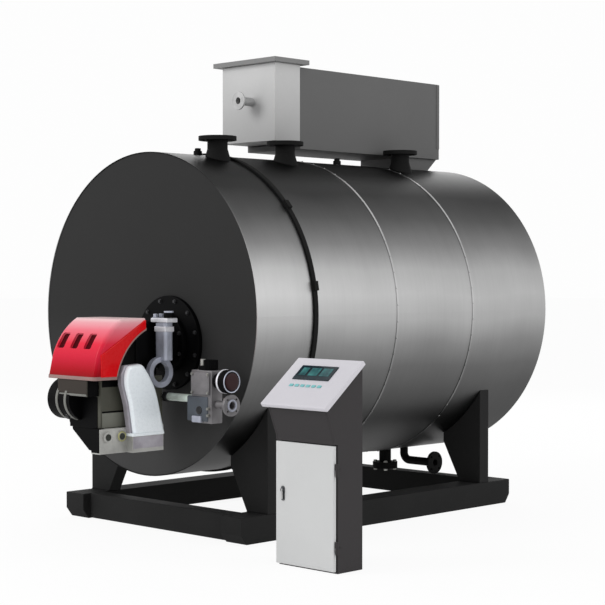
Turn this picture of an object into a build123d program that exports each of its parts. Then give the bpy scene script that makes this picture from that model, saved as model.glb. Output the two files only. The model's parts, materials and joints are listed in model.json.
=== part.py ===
"""Horizontal fire-tube boiler on a skid, with its gas burner, economiser and control console.

All sizes are millimetres. The model is drawn about the boiler's axis: X is across the boiler,
Y runs along it from the front plate at Y = 0 to the rear, and Z is up from the floor. At the end
every piece moves by the same amount, so that the origin is under the middle of the whole plant.
"""
from build123d import *
from math import cos, radians, sin, sqrt
import os

FIT_GAP = 0.3

# Shell
SHELL_DIAMETER = 2100.0
SHELL_LENGTH = 2922.0
SHELL_WALL = 60.0
JACKET_EDGE = 6.0
FLOOR_CLEARANCE = 360.0
END_PLATE_THICKNESS = 25.0
END_PLATE_RECESS = 4.0

# Bands round the jacket
STRAP_Y = 500.0
STRAP_WIDTH = 34.0
STRAP_THICKNESS = 14.0
STRAP_LUG_ANGLES = (49.0, 80.0, -49.0, -80.0)
STRAP_LUG_LENGTH = 60.0
STRAP_LUG_HEIGHT = 16.0
REAR_SHEET_WIDTH = 846.0
MIDDLE_SHEET_WIDTH = 792.0
SEAM_WIDTH = 16.0
SEAM_THICKNESS = 3.0

# Skid
RAIL_INSET = 170.0
RAIL_WIDTH = 190.0
RAIL_HEIGHT = 170.0
RAIL_FRONT_Y = 26.0
RAIL_REAR_INSET = 205.0
RAIL_NOSE_RISE = 62.0
RAIL_NOSE_RUN = 46.0
CROSS_BEAM_WIDTH = 120.0
CROSS_BEAM_HEIGHT = 166.0
CROSS_BEAM_INSET = 60.0
LEG_THICKNESS = 100.0
LEG_FRONT_Y = 300.0
LEG_REAR_INSET = 502.0
LEG_WAIST_REACH = 150.0
LEG_WAIST_RISE = 90.0

# Water and steam nozzles on top
NOZZLE_X = 250.0
NOZZLE_FRONT_Y = 407.0
NOZZLE_MIDDLE_Y = 1030.0
NOZZLE_REAR_INSET = 702.0
NOZZLE_RISE = 110.0
NOZZLE_BORE = 106.0
NOZZLE_NECK_DIAMETER = 134.0
NOZZLE_FLANGE_DIAMETER = 250.0
NOZZLE_FLANGE_THICKNESS = 28.0
NOZZLE_BOLT_CIRCLE = 210.0
NOZZLE_BOLT_HOLE = 18.0
NOZZLE_BOLT_COUNT = 8
SOCKET_X = 100.0
SOCKET_FRONT_Y = 368.0
SOCKET_REAR_INSET = 1217.0
SOCKET_DIAMETER = 56.0
SOCKET_HEIGHT = 22.0

# Drain nozzle and blowdown pipe underneath
DRAIN_REAR_INSET = 582.0
DRAIN_DROP = 102.0
DRAIN_NECK_DIAMETER = 89.0
DRAIN_BORE = 78.0
DRAIN_FLANGE_DIAMETER = 185.0
DRAIN_FLANGE_THICKNESS = 24.0
DRAIN_BOLT_CIRCLE = 145.0
DRAIN_BOLT_HOLE = 18.0
DRAIN_BOLT_COUNT = 4
BLOWDOWN_REAR_INSET = 365.0
BLOWDOWN_DROP = 105.0
BLOWDOWN_REACH = 310.0
BLOWDOWN_PIPE_DIAMETER = 60.0
BLOWDOWN_BORE = 50.0
BLOWDOWN_BEND_RADIUS = 55.0
BLOWDOWN_FLANGE_DIAMETER = 165.0
BLOWDOWN_FLANGE_THICKNESS = 20.0
BLOWDOWN_BOLT_CIRCLE = 125.0
BLOWDOWN_BOLT_HOLE = 18.0
BLOWDOWN_BOLT_COUNT = 4

# Economiser and flue outlet
DUCT_RIGHT_X = 90.0
DUCT_WIDTH = 536.0
DUCT_LENGTH = 1520.0
DUCT_HEIGHT = 574.0
DUCT_REAR_INSET = 63.0
DUCT_RISE = 86.0
DUCT_WALL = 40.0
RISER_LENGTH = 240.0
RISER_REAR_INSET = 99.0
RISER_SIDE_INSET = 30.0
RISER_WALL = 30.0
OUTLET_DEPTH = 247.0
OUTLET_STEP = 46.0
OUTLET_RISE = 14.0
OUTLET_WALL = 20.0
STACK_FLANGE_THICKNESS = 32.0
STACK_FLANGE_OVERHANG = 46.0
STACK_HOLE_INSET = 22.0
STACK_HOLE_DIAMETER = 14.0
PORT_LEFT_INSET = 310.0
PORT_RISE = 280.0
PORT_DIAMETER = 60.0
PORT_LENGTH = 140.0
PORT_BORE = 46.0
PORT_FLANGE_DIAMETER = 125.0
PORT_FLANGE_THICKNESS = 14.0

# Burner
BURNER_X = 250.0
BURNER_DROP = 178.0
PORT_PLATE_DIAMETER = 600.0
PORT_PLATE_THICKNESS = 30.0
BURNER_FLANGE_DIAMETER = 380.0
BURNER_FLANGE_THICKNESS = 36.0
BURNER_NECK_DIAMETER = 280.0
BURNER_NECK_LENGTH = 153.0
CASING_REACH_LEFT = 140.0
CASING_WIDTH = 310.0
CASING_LENGTH = 485.0
CASING_HEIGHT = 300.0
CASING_DROP = 192.0
CASING_CORNER = 45.0
BAND_REACH = 85.0
BAND_HEIGHT = 105.0
BAND_RIGHT_INSET = 20.0
INTAKE_LEFT_INSET = 20.0
INTAKE_FRONT_INSET = 8.0
INTAKE_HEIGHT = 140.0
INTAKE_CORNER = 120.0
INTAKE_CORNER_REACH = 165.0
SCROLL_LEFT_REACH = 90.0
SCROLL_LENGTH = 215.0
SCROLL_RADIUS = 127.0
SCROLL_FRONT_INSET = 30.0
SCROLL_DROP = 134.0
HOOD_WIDTH = 463.0
HOOD_HEIGHT = 360.0
HOOD_LEFT_REACH = 93.0
HOOD_FRONT_REACH = 97.0
HOOD_FOOT_DEPTH = 174.0
HOOD_TOP_DEPTH = 409.0
HOOD_CHIN_DEPTH = 31.0
HOOD_CHIN_RISE = 132.0
HOOD_BROW_DEPTH = 109.0
HOOD_BROW_DROP = 88.0
HOOD_CROWN_DEPTH = 215.0
HOOD_HOLLOW_DEPTH = 252.0
HOOD_HOLLOW_DROP = 189.0
HOOD_TAIL_INSET = 6.0
HOOD_TAIL_DROP = 70.0
UPPER_BODY_DROP = 25.0
CONTROL_BOX_WIDTH = 80.0
CONTROL_BOX_PROUD = 40.0
CONTROL_BOX_FRONT_REACH = 40.0
CONTROL_BOX_LENGTH = 500.0
CONTROL_BOX_HEIGHT = 150.0
PLUG_DIAMETER = 62.0
PLUG_DEPTH = 14.0
PLUG_RISE = 100.0
PLUG_FRONT_INSET = 56.0
PLUG_PITCH = 106.0
COVER_THICKNESS = 60.0
COVER_FRONT_INSET = 207.0
COVER_RISE = 100.0
COVER_OUTLINE = ((0.0, 0.0), (-30.0, 191.0), (-68.0, 314.0), (-68.0, 374.0), (-45.0, 427.0),
                 (64.0, 435.0), (119.0, 365.0), (166.0, 284.0), (190.0, 209.0), (242.0, 0.0))
COVER_BRACKET_INSET = 40.0
COVER_BRACKET_LENGTH = 110.0
COVER_BRACKET_HEIGHT = 210.0
HINGE_REACH = 200.0
HINGE_FRONT_REACH = 10.0
HINGE_COLUMN_WIDTH = 100.0
HINGE_COLUMN_DEPTH = 70.0
HINGE_COLUMN_HEIGHT = 235.0
HINGE_COLUMN_CORNER = 20.0
HINGE_CAP_WIDTH = 156.0
HINGE_CAP_DEPTH = 90.0
HINGE_CAP_THICKNESS = 28.0
HINGE_CAP_DROP = 30.0
YOKE_OUTER_DIAMETER = 190.0
YOKE_INNER_DIAMETER = 124.0
YOKE_THICKNESS = 38.0
YOKE_DROP = 73.0
YOKE_FRONT_REACH = 30.0

# Gas train
GAS_DROP = 322.0
GAS_REAR_INSET = 15.0
GAS_PIPE_DIAMETER = 48.0
GAS_PIPE_LENGTH = 305.0
VALVE_WIDTH = 183.0
VALVE_DEPTH = 90.0
VALVE_HEIGHT = 320.0
VALVE_DROP = 140.0
VALVE_CAP_DIAMETER = 88.0
VALVE_CAP_HEIGHT = 62.0
VALVE_CAP_SHIFT = 36.0
SWITCH_DIAMETER = 140.0
SWITCH_NECK_DIAMETER = 84.0
SWITCH_NECK_LENGTH = 66.0
SWITCH_LENGTH = 130.0
SWITCH_RISE = 118.0
INLET_DROP = 24.0
INLET_LENGTH = 132.0
GAS_FLANGE_DIAMETER = 130.0
GAS_FLANGE_THICKNESS = 18.0
GAS_BOLT_CIRCLE = 98.0
GAS_BOLT_HOLE = 12.0
GAS_BOLT_COUNT = 4
GAS_BORE = 41.0

# Console
CONSOLE_STAND_OFF = 422.0
CONSOLE_WIDTH = 463.0
CONSOLE_FRONT_Y = -258.0
CONSOLE_DEPTH = 230.0
CONSOLE_PANEL = 12.0
FASCIA_HEIGHT = 25.0
NOSE_REACH = 62.0
NOSE_RISE = 182.0
NOSE_HEIGHT = 20.0
DESK_RISE = 234.0
DESK_THICKNESS = 30.0
DESK_OVERHANG = 28.0
PANEL_SHIFT = -22.0
SCREEN_WIDTH = 284.0
SCREEN_DEPTH = 118.0
SCREEN_THICKNESS = 6.0
SCREEN_RISE = 58.0
KEY_COUNT = 6
KEY_WIDTH = 28.0
KEY_DEPTH = 18.0
KEY_THICKNESS = 5.0
KEY_PITCH = 44.0
KEY_DROP = 50.0

# Console door
DOOR_THICKNESS = 20.0
DOOR_HEIGHT = 702.0
DOOR_FLOOR_GAP = 12.0
DOOR_CLEARANCE = 6.0
HINGE_BARREL_DIAMETER = 18.0
HINGE_PIN_DIAMETER = 8.0
HINGE_BARREL_LENGTH = 36.0
HINGE_END_INSET = 98.0
HINGE_OFFSET = 10.0
HINGE_TAB = 6.0
HINGE_PLATE_REACH = 18.0
HANDLE_INSET = 58.0
HANDLE_RISE = 405.0
HANDLE_WIDTH = 28.0
HANDLE_HEIGHT = 84.0
HANDLE_DEPTH = 14.0
HANDLE_CORNER = 5.0

# Shell, bands and skid, as places
SHELL_RADIUS = SHELL_DIAMETER / 2
SEAT_RADIUS = SHELL_RADIUS + FIT_GAP
AXIS_HEIGHT = FLOOR_CLEARANCE + SHELL_RADIUS
SHELL_TOP_Z = AXIS_HEIGHT + SHELL_RADIUS
REAR_SEAM_Y = SHELL_LENGTH - REAR_SHEET_WIDTH
MIDDLE_SEAM_Y = REAR_SEAM_Y - MIDDLE_SHEET_WIDTH
RAIL_OUTER_X = SHELL_RADIUS - RAIL_INSET
RAIL_INNER_X = RAIL_OUTER_X - RAIL_WIDTH
RAIL_REAR_Y = SHELL_LENGTH - RAIL_REAR_INSET
LEG_REAR_Y = SHELL_LENGTH - LEG_REAR_INSET
LEG_WAIST_X = RAIL_INNER_X - LEG_WAIST_REACH
LEG_WAIST_Z = FLOOR_CLEARANCE + LEG_WAIST_RISE

# Nozzles and pipes, as places
NOZZLE_YS = (NOZZLE_FRONT_Y, NOZZLE_MIDDLE_Y, SHELL_LENGTH - NOZZLE_REAR_INSET)
NOZZLE_TOP_Z = SHELL_TOP_Z + NOZZLE_RISE
SOCKET_REAR_Y = SHELL_LENGTH - SOCKET_REAR_INSET
DRAIN_Y = SHELL_LENGTH - DRAIN_REAR_INSET
DRAIN_FLANGE_TOP_Z = FLOOR_CLEARANCE - DRAIN_DROP
BLOWDOWN_Y = SHELL_LENGTH - BLOWDOWN_REAR_INSET
BLOWDOWN_Z = FLOOR_CLEARANCE - BLOWDOWN_DROP

# Economiser, as places
DUCT_LEFT_X = DUCT_RIGHT_X - DUCT_WIDTH
DUCT_REAR_Y = SHELL_LENGTH - DUCT_REAR_INSET
DUCT_FRONT_Y = DUCT_REAR_Y - DUCT_LENGTH
DUCT_BOTTOM_Z = SHELL_TOP_Z + DUCT_RISE
DUCT_TOP_Z = DUCT_BOTTOM_Z + DUCT_HEIGHT
RISER_REAR_Y = DUCT_REAR_Y - RISER_REAR_INSET
RISER_FRONT_Y = RISER_REAR_Y - RISER_LENGTH
RISER_LEFT_X = DUCT_LEFT_X + RISER_SIDE_INSET
RISER_RIGHT_X = DUCT_RIGHT_X - RISER_SIDE_INSET
OUTLET_FRONT_Y = DUCT_FRONT_Y - OUTLET_DEPTH
OUTLET_BOTTOM_Z = DUCT_BOTTOM_Z + OUTLET_STEP
OUTLET_TOP_Z = DUCT_TOP_Z + OUTLET_RISE
STACK_TOP_Z = OUTLET_TOP_Z + STACK_FLANGE_THICKNESS
PORT_X = DUCT_LEFT_X + PORT_LEFT_INSET
PORT_Z = OUTLET_BOTTOM_Z + PORT_RISE

# Burner, as places
BURNER_Z = AXIS_HEIGHT - BURNER_DROP
PORT_PLATE_FRONT_Y = END_PLATE_RECESS - PORT_PLATE_THICKNESS
BURNER_FLANGE_FRONT_Y = PORT_PLATE_FRONT_Y - BURNER_FLANGE_THICKNESS
CASING_REAR_Y = BURNER_FLANGE_FRONT_Y - BURNER_NECK_LENGTH
CASING_FRONT_Y = CASING_REAR_Y - CASING_LENGTH
CASING_LEFT_X = BURNER_X - CASING_REACH_LEFT
CASING_RIGHT_X = CASING_LEFT_X + CASING_WIDTH
CASING_TOP_Z = BURNER_Z - CASING_DROP
CASING_BOTTOM_Z = CASING_TOP_Z - CASING_HEIGHT
HOOD_LEFT_X = CASING_LEFT_X - HOOD_LEFT_REACH
HOOD_RIGHT_X = HOOD_LEFT_X + HOOD_WIDTH
HOOD_TOP_Z = CASING_TOP_Z + HOOD_HEIGHT
HOOD_FRONT_Y = CASING_FRONT_Y - HOOD_FRONT_REACH
HOOD_TOP_REAR_Y = HOOD_FRONT_Y + HOOD_TOP_DEPTH
SCROLL_LEFT_X = CASING_LEFT_X - SCROLL_LEFT_REACH
SCROLL_Y = CASING_FRONT_Y + SCROLL_FRONT_INSET
SCROLL_Z = CASING_TOP_Z - SCROLL_DROP
CONTROL_RIGHT_X = CASING_RIGHT_X + CONTROL_BOX_PROUD
CONTROL_LEFT_X = CONTROL_RIGHT_X - CONTROL_BOX_WIDTH
CONTROL_FRONT_Y = CASING_FRONT_Y - CONTROL_BOX_FRONT_REACH
CONTROL_REAR_Y = CONTROL_FRONT_Y + CONTROL_BOX_LENGTH
CONTROL_BOTTOM_Z = CASING_BOTTOM_Z - CONTROL_BOX_HEIGHT
COVER_FRONT_Y = CONTROL_FRONT_Y + COVER_FRONT_INSET
COVER_REAR_Y = COVER_FRONT_Y + COVER_OUTLINE[-1][0]
COVER_BOTTOM_Z = CONTROL_BOTTOM_Z + COVER_RISE
HINGE_X = BURNER_X + HINGE_REACH
HINGE_Y = CASING_REAR_Y - HINGE_FRONT_REACH
HINGE_COLUMN_TOP_Z = HOOD_TOP_Z - HINGE_CAP_DROP
HINGE_COLUMN_BOTTOM_Z = HINGE_COLUMN_TOP_Z - HINGE_COLUMN_HEIGHT
YOKE_Z = HINGE_COLUMN_BOTTOM_Z - YOKE_DROP
YOKE_Y = HINGE_Y - YOKE_FRONT_REACH

# Gas train, as places
GAS_Y = CASING_REAR_Y + GAS_REAR_INSET
GAS_Z = BURNER_Z - GAS_DROP
VALVE_LEFT_X = CASING_RIGHT_X + GAS_PIPE_LENGTH
VALVE_RIGHT_X = VALVE_LEFT_X + VALVE_WIDTH
VALVE_BOTTOM_Z = GAS_Z - VALVE_DROP
VALVE_TOP_Z = VALVE_BOTTOM_Z + VALVE_HEIGHT
INLET_END_X = VALVE_RIGHT_X + INLET_LENGTH
INLET_Z = GAS_Z - INLET_DROP

# Console, as places
CONSOLE_LEFT_X = SHELL_RADIUS + CONSOLE_STAND_OFF
CONSOLE_RIGHT_X = CONSOLE_LEFT_X + CONSOLE_WIDTH
CONSOLE_BACK_Y = CONSOLE_FRONT_Y + CONSOLE_DEPTH
DOOR_TOP_Z = DOOR_FLOOR_GAP + DOOR_HEIGHT
DOOR_BACK_Y = CONSOLE_FRONT_Y + DOOR_THICKNESS
CARCASS_FRONT_Y = DOOR_BACK_Y + DOOR_CLEARANCE
FASCIA_BOTTOM_Z = DOOR_TOP_Z + DOOR_CLEARANCE
FASCIA_TOP_Z = FASCIA_BOTTOM_Z + FASCIA_HEIGHT
NOSE_Y = CONSOLE_FRONT_Y - NOSE_REACH
NOSE_TOP_Z = FASCIA_TOP_Z + NOSE_RISE
NOSE_FOOT_Z = NOSE_TOP_Z - NOSE_HEIGHT
CONSOLE_TOP_Z = NOSE_TOP_Z + DESK_RISE
HINGE_AXIS_X = CONSOLE_RIGHT_X + HINGE_OFFSET
HINGE_AXIS_Y = CONSOLE_FRONT_Y + DOOR_THICKNESS / 2
HINGE_ZS = (DOOR_FLOOR_GAP + HINGE_END_INSET,
            DOOR_TOP_Z - HINGE_END_INSET - 2 * HINGE_BARREL_LENGTH)
HANDLE_Z = DOOR_FLOOR_GAP + HANDLE_RISE


def block(x0, x1, y0, y1, z0, z1):
    """A box between two opposite corners."""
    middle = ((x0 + x1) / 2, (y0 + y1) / 2, (z0 + z1) / 2)
    return Pos(*middle) * Box(x1 - x0, y1 - y0, z1 - z0)


def rod_x(diameter, x0, x1, y, z):
    """A round bar along X."""
    return Pos((x0 + x1) / 2, y, z) * Rot(Y=90) * Cylinder(diameter / 2, x1 - x0)


def rod_y(diameter, y0, y1, x, z):
    """A round bar along Y."""
    return Pos(x, (y0 + y1) / 2, z) * Rot(X=90) * Cylinder(diameter / 2, y1 - y0)


def rod_z(diameter, z0, z1, x, y):
    """A round bar along Z."""
    return Pos(x, y, (z0 + z1) / 2) * Cylinder(diameter / 2, z1 - z0)


def slab_x(outline, x0, x1):
    """A closed (y, z) outline carried from x0 to x1."""
    face = Plane.YZ * make_face(Polyline(*outline, close=True))
    return Pos(x0, 0, 0) * extrude(face, amount=x1 - x0)


def slab_y(outline, y0, y1):
    """A closed (x, z) outline carried from y0 to y1."""
    face = Plane.XZ * make_face(Polyline(*outline, close=True))
    return Pos(0, y1, 0) * extrude(face, amount=y1 - y0)


def jacket_space():
    """The space that the jacket fills, with the fitting gap round it."""
    return rod_y(2 * SEAT_RADIUS, 0, SHELL_LENGTH, 0, AXIS_HEIGHT)


def shell_height(x):
    """How high the jacket stands over the floor at a distance across from its axis."""
    return AXIS_HEIGHT + sqrt(SHELL_RADIUS ** 2 - x ** 2)


def ring_y(outer_radius, inner_radius, y0, y1):
    """A ring round the boiler's axis."""
    ring = rod_y(2 * outer_radius, y0, y1, 0, AXIS_HEIGHT)
    return ring - rod_y(2 * inner_radius, y0, y1, 0, AXIS_HEIGHT)


def bolt_holes(circle, hole, count, length):
    """Bolt holes on a circle about Z, through a flange centred on the origin."""
    first = 180 / count
    holes = [
        Pos(circle / 2 * cos(radians(first + 360 * n / count)),
            circle / 2 * sin(radians(first + 360 * n / count)), 0) * Cylinder(hole / 2, length)
        for n in range(count)
    ]
    return Compound(holes)


# Shell pieces
def riser_hole():
    """The flue passage from the shell up through the riser."""
    return block(RISER_LEFT_X + RISER_WALL, RISER_RIGHT_X - RISER_WALL,
                 RISER_FRONT_Y + RISER_WALL, RISER_REAR_Y - RISER_WALL,
                 AXIS_HEIGHT, DUCT_BOTTOM_Z + DUCT_WALL)


def shell_jacket():
    """The clad shell, with its nozzle, drain, blowdown and flue holes."""
    shell = ring_y(SHELL_RADIUS, SHELL_RADIUS - SHELL_WALL, 0, SHELL_LENGTH)
    seat = 2 * (SHELL_RADIUS - JACKET_EDGE)
    depth = END_PLATE_RECESS + END_PLATE_THICKNESS
    shell -= rod_y(seat, 0, depth, 0, AXIS_HEIGHT)
    shell -= rod_y(seat, SHELL_LENGTH - depth, SHELL_LENGTH, 0, AXIS_HEIGHT)
    for y in NOZZLE_YS:
        shell -= rod_z(NOZZLE_BORE, AXIS_HEIGHT, NOZZLE_TOP_Z, NOZZLE_X, y)
    shell -= rod_z(DRAIN_BORE, 0, AXIS_HEIGHT, 0, DRAIN_Y)
    shell -= rod_z(BLOWDOWN_BORE, 0, AXIS_HEIGHT, 0, BLOWDOWN_Y)
    return shell - riser_hole()


def end_plate(y0):
    """A flat end, seated in the jacket's edge."""
    diameter = SHELL_DIAMETER - 2 * JACKET_EDGE - 2 * FIT_GAP
    return rod_y(diameter, y0, y0 + END_PLATE_THICKNESS, 0, AXIS_HEIGHT)


def strap():
    """The heavy black strap with its clamp lugs."""
    half = STRAP_WIDTH / 2
    ring = ring_y(SEAT_RADIUS + STRAP_THICKNESS, SEAT_RADIUS, STRAP_Y - half, STRAP_Y + half)
    for angle in STRAP_LUG_ANGLES:
        height = STRAP_THICKNESS + STRAP_LUG_HEIGHT
        lug = Pos(0, 0, SEAT_RADIUS + height / 2) * Box(STRAP_LUG_LENGTH, STRAP_WIDTH, height)
        ring += Pos(0, STRAP_Y, AXIS_HEIGHT) * Rot(Y=angle) * lug
    return ring - jacket_space()


def seam(y):
    """A thin bright strip over a joint of the cladding, cut away round the riser."""
    half = SEAM_WIDTH / 2
    ring = ring_y(SEAT_RADIUS + SEAM_THICKNESS, SEAT_RADIUS, y - half, y + half)
    return ring - block(RISER_LEFT_X - FIT_GAP, RISER_RIGHT_X + FIT_GAP,
                        RISER_FRONT_Y - FIT_GAP, RISER_REAR_Y + FIT_GAP,
                        AXIS_HEIGHT, DUCT_BOTTOM_Z)


# Skid pieces
def skid_rail():
    """The right rail, with its nose and tail cut off below."""
    outline = [
        (RAIL_FRONT_Y + RAIL_NOSE_RUN, 0), (RAIL_REAR_Y - RAIL_NOSE_RUN, 0),
        (RAIL_REAR_Y, RAIL_NOSE_RISE), (RAIL_REAR_Y, RAIL_HEIGHT),
        (RAIL_FRONT_Y, RAIL_HEIGHT), (RAIL_FRONT_Y, RAIL_NOSE_RISE),
    ]
    return slab_x(outline, RAIL_INNER_X, RAIL_OUTER_X)


def cross_beam(y0):
    """A beam between the rails."""
    return block(-RAIL_INNER_X, RAIL_INNER_X, y0, y0 + CROSS_BEAM_WIDTH,
                 RAIL_HEIGHT - CROSS_BEAM_HEIGHT, RAIL_HEIGHT)


def saddle_leg(y):
    """The right leg of a saddle, with its top cut to the jacket."""
    outline = [
        (RAIL_INNER_X, RAIL_HEIGHT), (RAIL_OUTER_X, RAIL_HEIGHT), (RAIL_OUTER_X, AXIS_HEIGHT),
        (LEG_WAIST_X, AXIS_HEIGHT), (LEG_WAIST_X, LEG_WAIST_Z),
    ]
    leg = slab_y(outline, y - LEG_THICKNESS / 2, y + LEG_THICKNESS / 2)
    return leg - jacket_space()


# Nozzles
def flanged_neck(neck, bore, flange, flange_thickness, circle, hole, count, length):
    """A pipe stub up Z from 0 to length, with its flange at the top."""
    stub = Pos(0, 0, length / 2) * Cylinder(neck / 2, length)
    plate = Pos(0, 0, length - flange_thickness / 2) * Cylinder(flange / 2, flange_thickness)
    holes = Pos(0, 0, length) * bolt_holes(circle, hole, count, 3 * flange_thickness)
    return stub + plate - holes - Cylinder(bore / 2, 3 * length)


def top_nozzle(y):
    """A flanged nozzle on top of the shell."""
    base = shell_height(NOZZLE_X + NOZZLE_NECK_DIAMETER / 2) - SHELL_WALL / 2
    nozzle = flanged_neck(NOZZLE_NECK_DIAMETER, NOZZLE_BORE, NOZZLE_FLANGE_DIAMETER,
                          NOZZLE_FLANGE_THICKNESS, NOZZLE_BOLT_CIRCLE, NOZZLE_BOLT_HOLE,
                          NOZZLE_BOLT_COUNT, NOZZLE_TOP_Z - base)
    return Pos(NOZZLE_X, y, base) * nozzle - jacket_space()


def small_socket(x, y):
    """A plugged screwed socket on the crown."""
    base = shell_height(x) - SOCKET_HEIGHT
    return rod_z(SOCKET_DIAMETER, base, shell_height(x) + SOCKET_HEIGHT, x, y) - jacket_space()


def drain_nozzle():
    """The flanged drain under the shell."""
    start = FLOOR_CLEARANCE + SHELL_WALL / 2
    length = start - DRAIN_FLANGE_TOP_Z + DRAIN_FLANGE_THICKNESS
    neck = flanged_neck(DRAIN_NECK_DIAMETER, DRAIN_BORE, DRAIN_FLANGE_DIAMETER,
                        DRAIN_FLANGE_THICKNESS, DRAIN_BOLT_CIRCLE, DRAIN_BOLT_HOLE,
                        DRAIN_BOLT_COUNT, length)
    return Pos(0, DRAIN_Y, start) * Rot(X=180) * neck - jacket_space()


def drain_cover():
    """The blind flange that closes the drain."""
    top = DRAIN_FLANGE_TOP_Z - DRAIN_FLANGE_THICKNESS
    holes = bolt_holes(DRAIN_BOLT_CIRCLE, DRAIN_BOLT_HOLE, DRAIN_BOLT_COUNT,
                       3 * DRAIN_FLANGE_THICKNESS)
    cover = rod_z(DRAIN_FLANGE_DIAMETER, top - DRAIN_FLANGE_THICKNESS, top, 0, DRAIN_Y)
    return cover - Pos(0, DRAIN_Y, top) * Rot(X=180) * holes


def blowdown_pipe():
    """The bent pipe from the shell's bottom to a flange that faces right."""
    start = (0, BLOWDOWN_Y, FLOOR_CLEARANCE + SHELL_WALL / 2)
    corner = (0, BLOWDOWN_Y, BLOWDOWN_Z)
    end = (BLOWDOWN_REACH, BLOWDOWN_Y, BLOWDOWN_Z)
    path = FilletPolyline(start, corner, end, radius=BLOWDOWN_BEND_RADIUS)
    ring = Plane(origin=start, z_dir=(0, 0, -1)) * Circle(BLOWDOWN_PIPE_DIAMETER / 2)
    hollow = Plane(origin=start, z_dir=(0, 0, -1)) * Circle(BLOWDOWN_BORE / 2)
    pipe = sweep(ring, path=path)
    flange = rod_x(BLOWDOWN_FLANGE_DIAMETER, BLOWDOWN_REACH - BLOWDOWN_FLANGE_THICKNESS,
                   BLOWDOWN_REACH, BLOWDOWN_Y, BLOWDOWN_Z)
    holes = bolt_holes(BLOWDOWN_BOLT_CIRCLE, BLOWDOWN_BOLT_HOLE, BLOWDOWN_BOLT_COUNT,
                       3 * BLOWDOWN_FLANGE_THICKNESS)
    flange -= Pos(BLOWDOWN_REACH, BLOWDOWN_Y, BLOWDOWN_Z) * Rot(Y=90) * holes
    return pipe + flange - sweep(hollow, path=path) - jacket_space()


# Economiser pieces
def economiser_duct():
    """The long flue casing, open to the outlet box in front and to the riser below."""
    casing = block(DUCT_LEFT_X, DUCT_RIGHT_X, DUCT_FRONT_Y, DUCT_REAR_Y,
                   DUCT_BOTTOM_Z, DUCT_TOP_Z)
    hollow = block(DUCT_LEFT_X + DUCT_WALL, DUCT_RIGHT_X - DUCT_WALL,
                   DUCT_FRONT_Y, DUCT_REAR_Y - DUCT_WALL,
                   DUCT_BOTTOM_Z + DUCT_WALL, DUCT_TOP_Z - DUCT_WALL)
    return casing - hollow - riser_hole()


def flue_riser():
    """The neck under the economiser, with a sloping tail out to the duct's rear end."""
    outline = [
        (RISER_FRONT_Y, AXIS_HEIGHT), (RISER_REAR_Y, AXIS_HEIGHT), (RISER_REAR_Y, SHELL_TOP_Z),
        (DUCT_REAR_Y, DUCT_BOTTOM_Z), (RISER_FRONT_Y, DUCT_BOTTOM_Z),
    ]
    neck = slab_x(outline, RISER_LEFT_X, RISER_RIGHT_X)
    return neck - riser_hole() - jacket_space()


def outlet_box():
    """The light box that turns the flue gas up to the stack."""
    box = block(DUCT_LEFT_X, DUCT_RIGHT_X, OUTLET_FRONT_Y, DUCT_FRONT_Y,
                OUTLET_BOTTOM_Z, OUTLET_TOP_Z)
    box -= block(DUCT_LEFT_X + OUTLET_WALL, DUCT_RIGHT_X - OUTLET_WALL,
                 OUTLET_FRONT_Y + OUTLET_WALL, DUCT_FRONT_Y,
                 OUTLET_BOTTOM_Z + OUTLET_WALL, OUTLET_TOP_Z)
    return box - rod_y(PORT_BORE, OUTLET_FRONT_Y, OUTLET_FRONT_Y + OUTLET_WALL, PORT_X, PORT_Z)


def stack_flange():
    """The frame on the outlet box that the stack bolts to."""
    out = STACK_FLANGE_OVERHANG
    top = STACK_TOP_Z
    plate = block(DUCT_LEFT_X - out, DUCT_RIGHT_X + out, OUTLET_FRONT_Y - out,
                  DUCT_FRONT_Y + out, OUTLET_TOP_Z, top)
    plate -= block(DUCT_LEFT_X + OUTLET_WALL, DUCT_RIGHT_X - OUTLET_WALL,
                   OUTLET_FRONT_Y + OUTLET_WALL, DUCT_FRONT_Y - OUTLET_WALL,
                   OUTLET_TOP_Z, top)
    for x in (DUCT_LEFT_X - out + STACK_HOLE_INSET, DUCT_RIGHT_X + out - STACK_HOLE_INSET):
        for y in (OUTLET_FRONT_Y - out + STACK_HOLE_INSET, DUCT_FRONT_Y + out - STACK_HOLE_INSET):
            plate -= rod_z(STACK_HOLE_DIAMETER, OUTLET_TOP_Z, top, x, y)
    return plate


def sight_port():
    """The short flanged stub on the front of the outlet box."""
    end = OUTLET_FRONT_Y - PORT_LENGTH
    stub = rod_y(PORT_DIAMETER, end, OUTLET_FRONT_Y, PORT_X, PORT_Z)
    stub += rod_y(PORT_FLANGE_DIAMETER, end, end + PORT_FLANGE_THICKNESS, PORT_X, PORT_Z)
    return stub - rod_y(PORT_BORE, end, OUTLET_FRONT_Y, PORT_X, PORT_Z)


# Burner pieces
def burner_port_plate():
    """The round plate bolted to the boiler's front."""
    return rod_y(PORT_PLATE_DIAMETER, PORT_PLATE_FRONT_Y, END_PLATE_RECESS, BURNER_X, BURNER_Z)


def burner_flange():
    """The burner's own flange and neck."""
    flange = rod_y(BURNER_FLANGE_DIAMETER, BURNER_FLANGE_FRONT_Y, PORT_PLATE_FRONT_Y,
                   BURNER_X, BURNER_Z)
    neck = rod_y(BURNER_NECK_DIAMETER, CASING_REAR_Y, BURNER_FLANGE_FRONT_Y, BURNER_X, BURNER_Z)
    return flange + neck


def scroll_space(gap):
    """The fan housing's round space, with a gap round it."""
    return rod_x(2 * (SCROLL_RADIUS + gap), SCROLL_LEFT_X - gap,
                 SCROLL_LEFT_X + SCROLL_LENGTH + gap, SCROLL_Y, SCROLL_Z)


def band_space(gap):
    """The casing's front band under the hood, made larger all round by a gap."""
    return block(CASING_LEFT_X - gap, CASING_RIGHT_X - BAND_RIGHT_INSET + gap,
                 CASING_FRONT_Y - BAND_REACH - gap, CASING_FRONT_Y + gap,
                 CASING_TOP_Z - BAND_HEIGHT - gap, CASING_TOP_Z)


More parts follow.
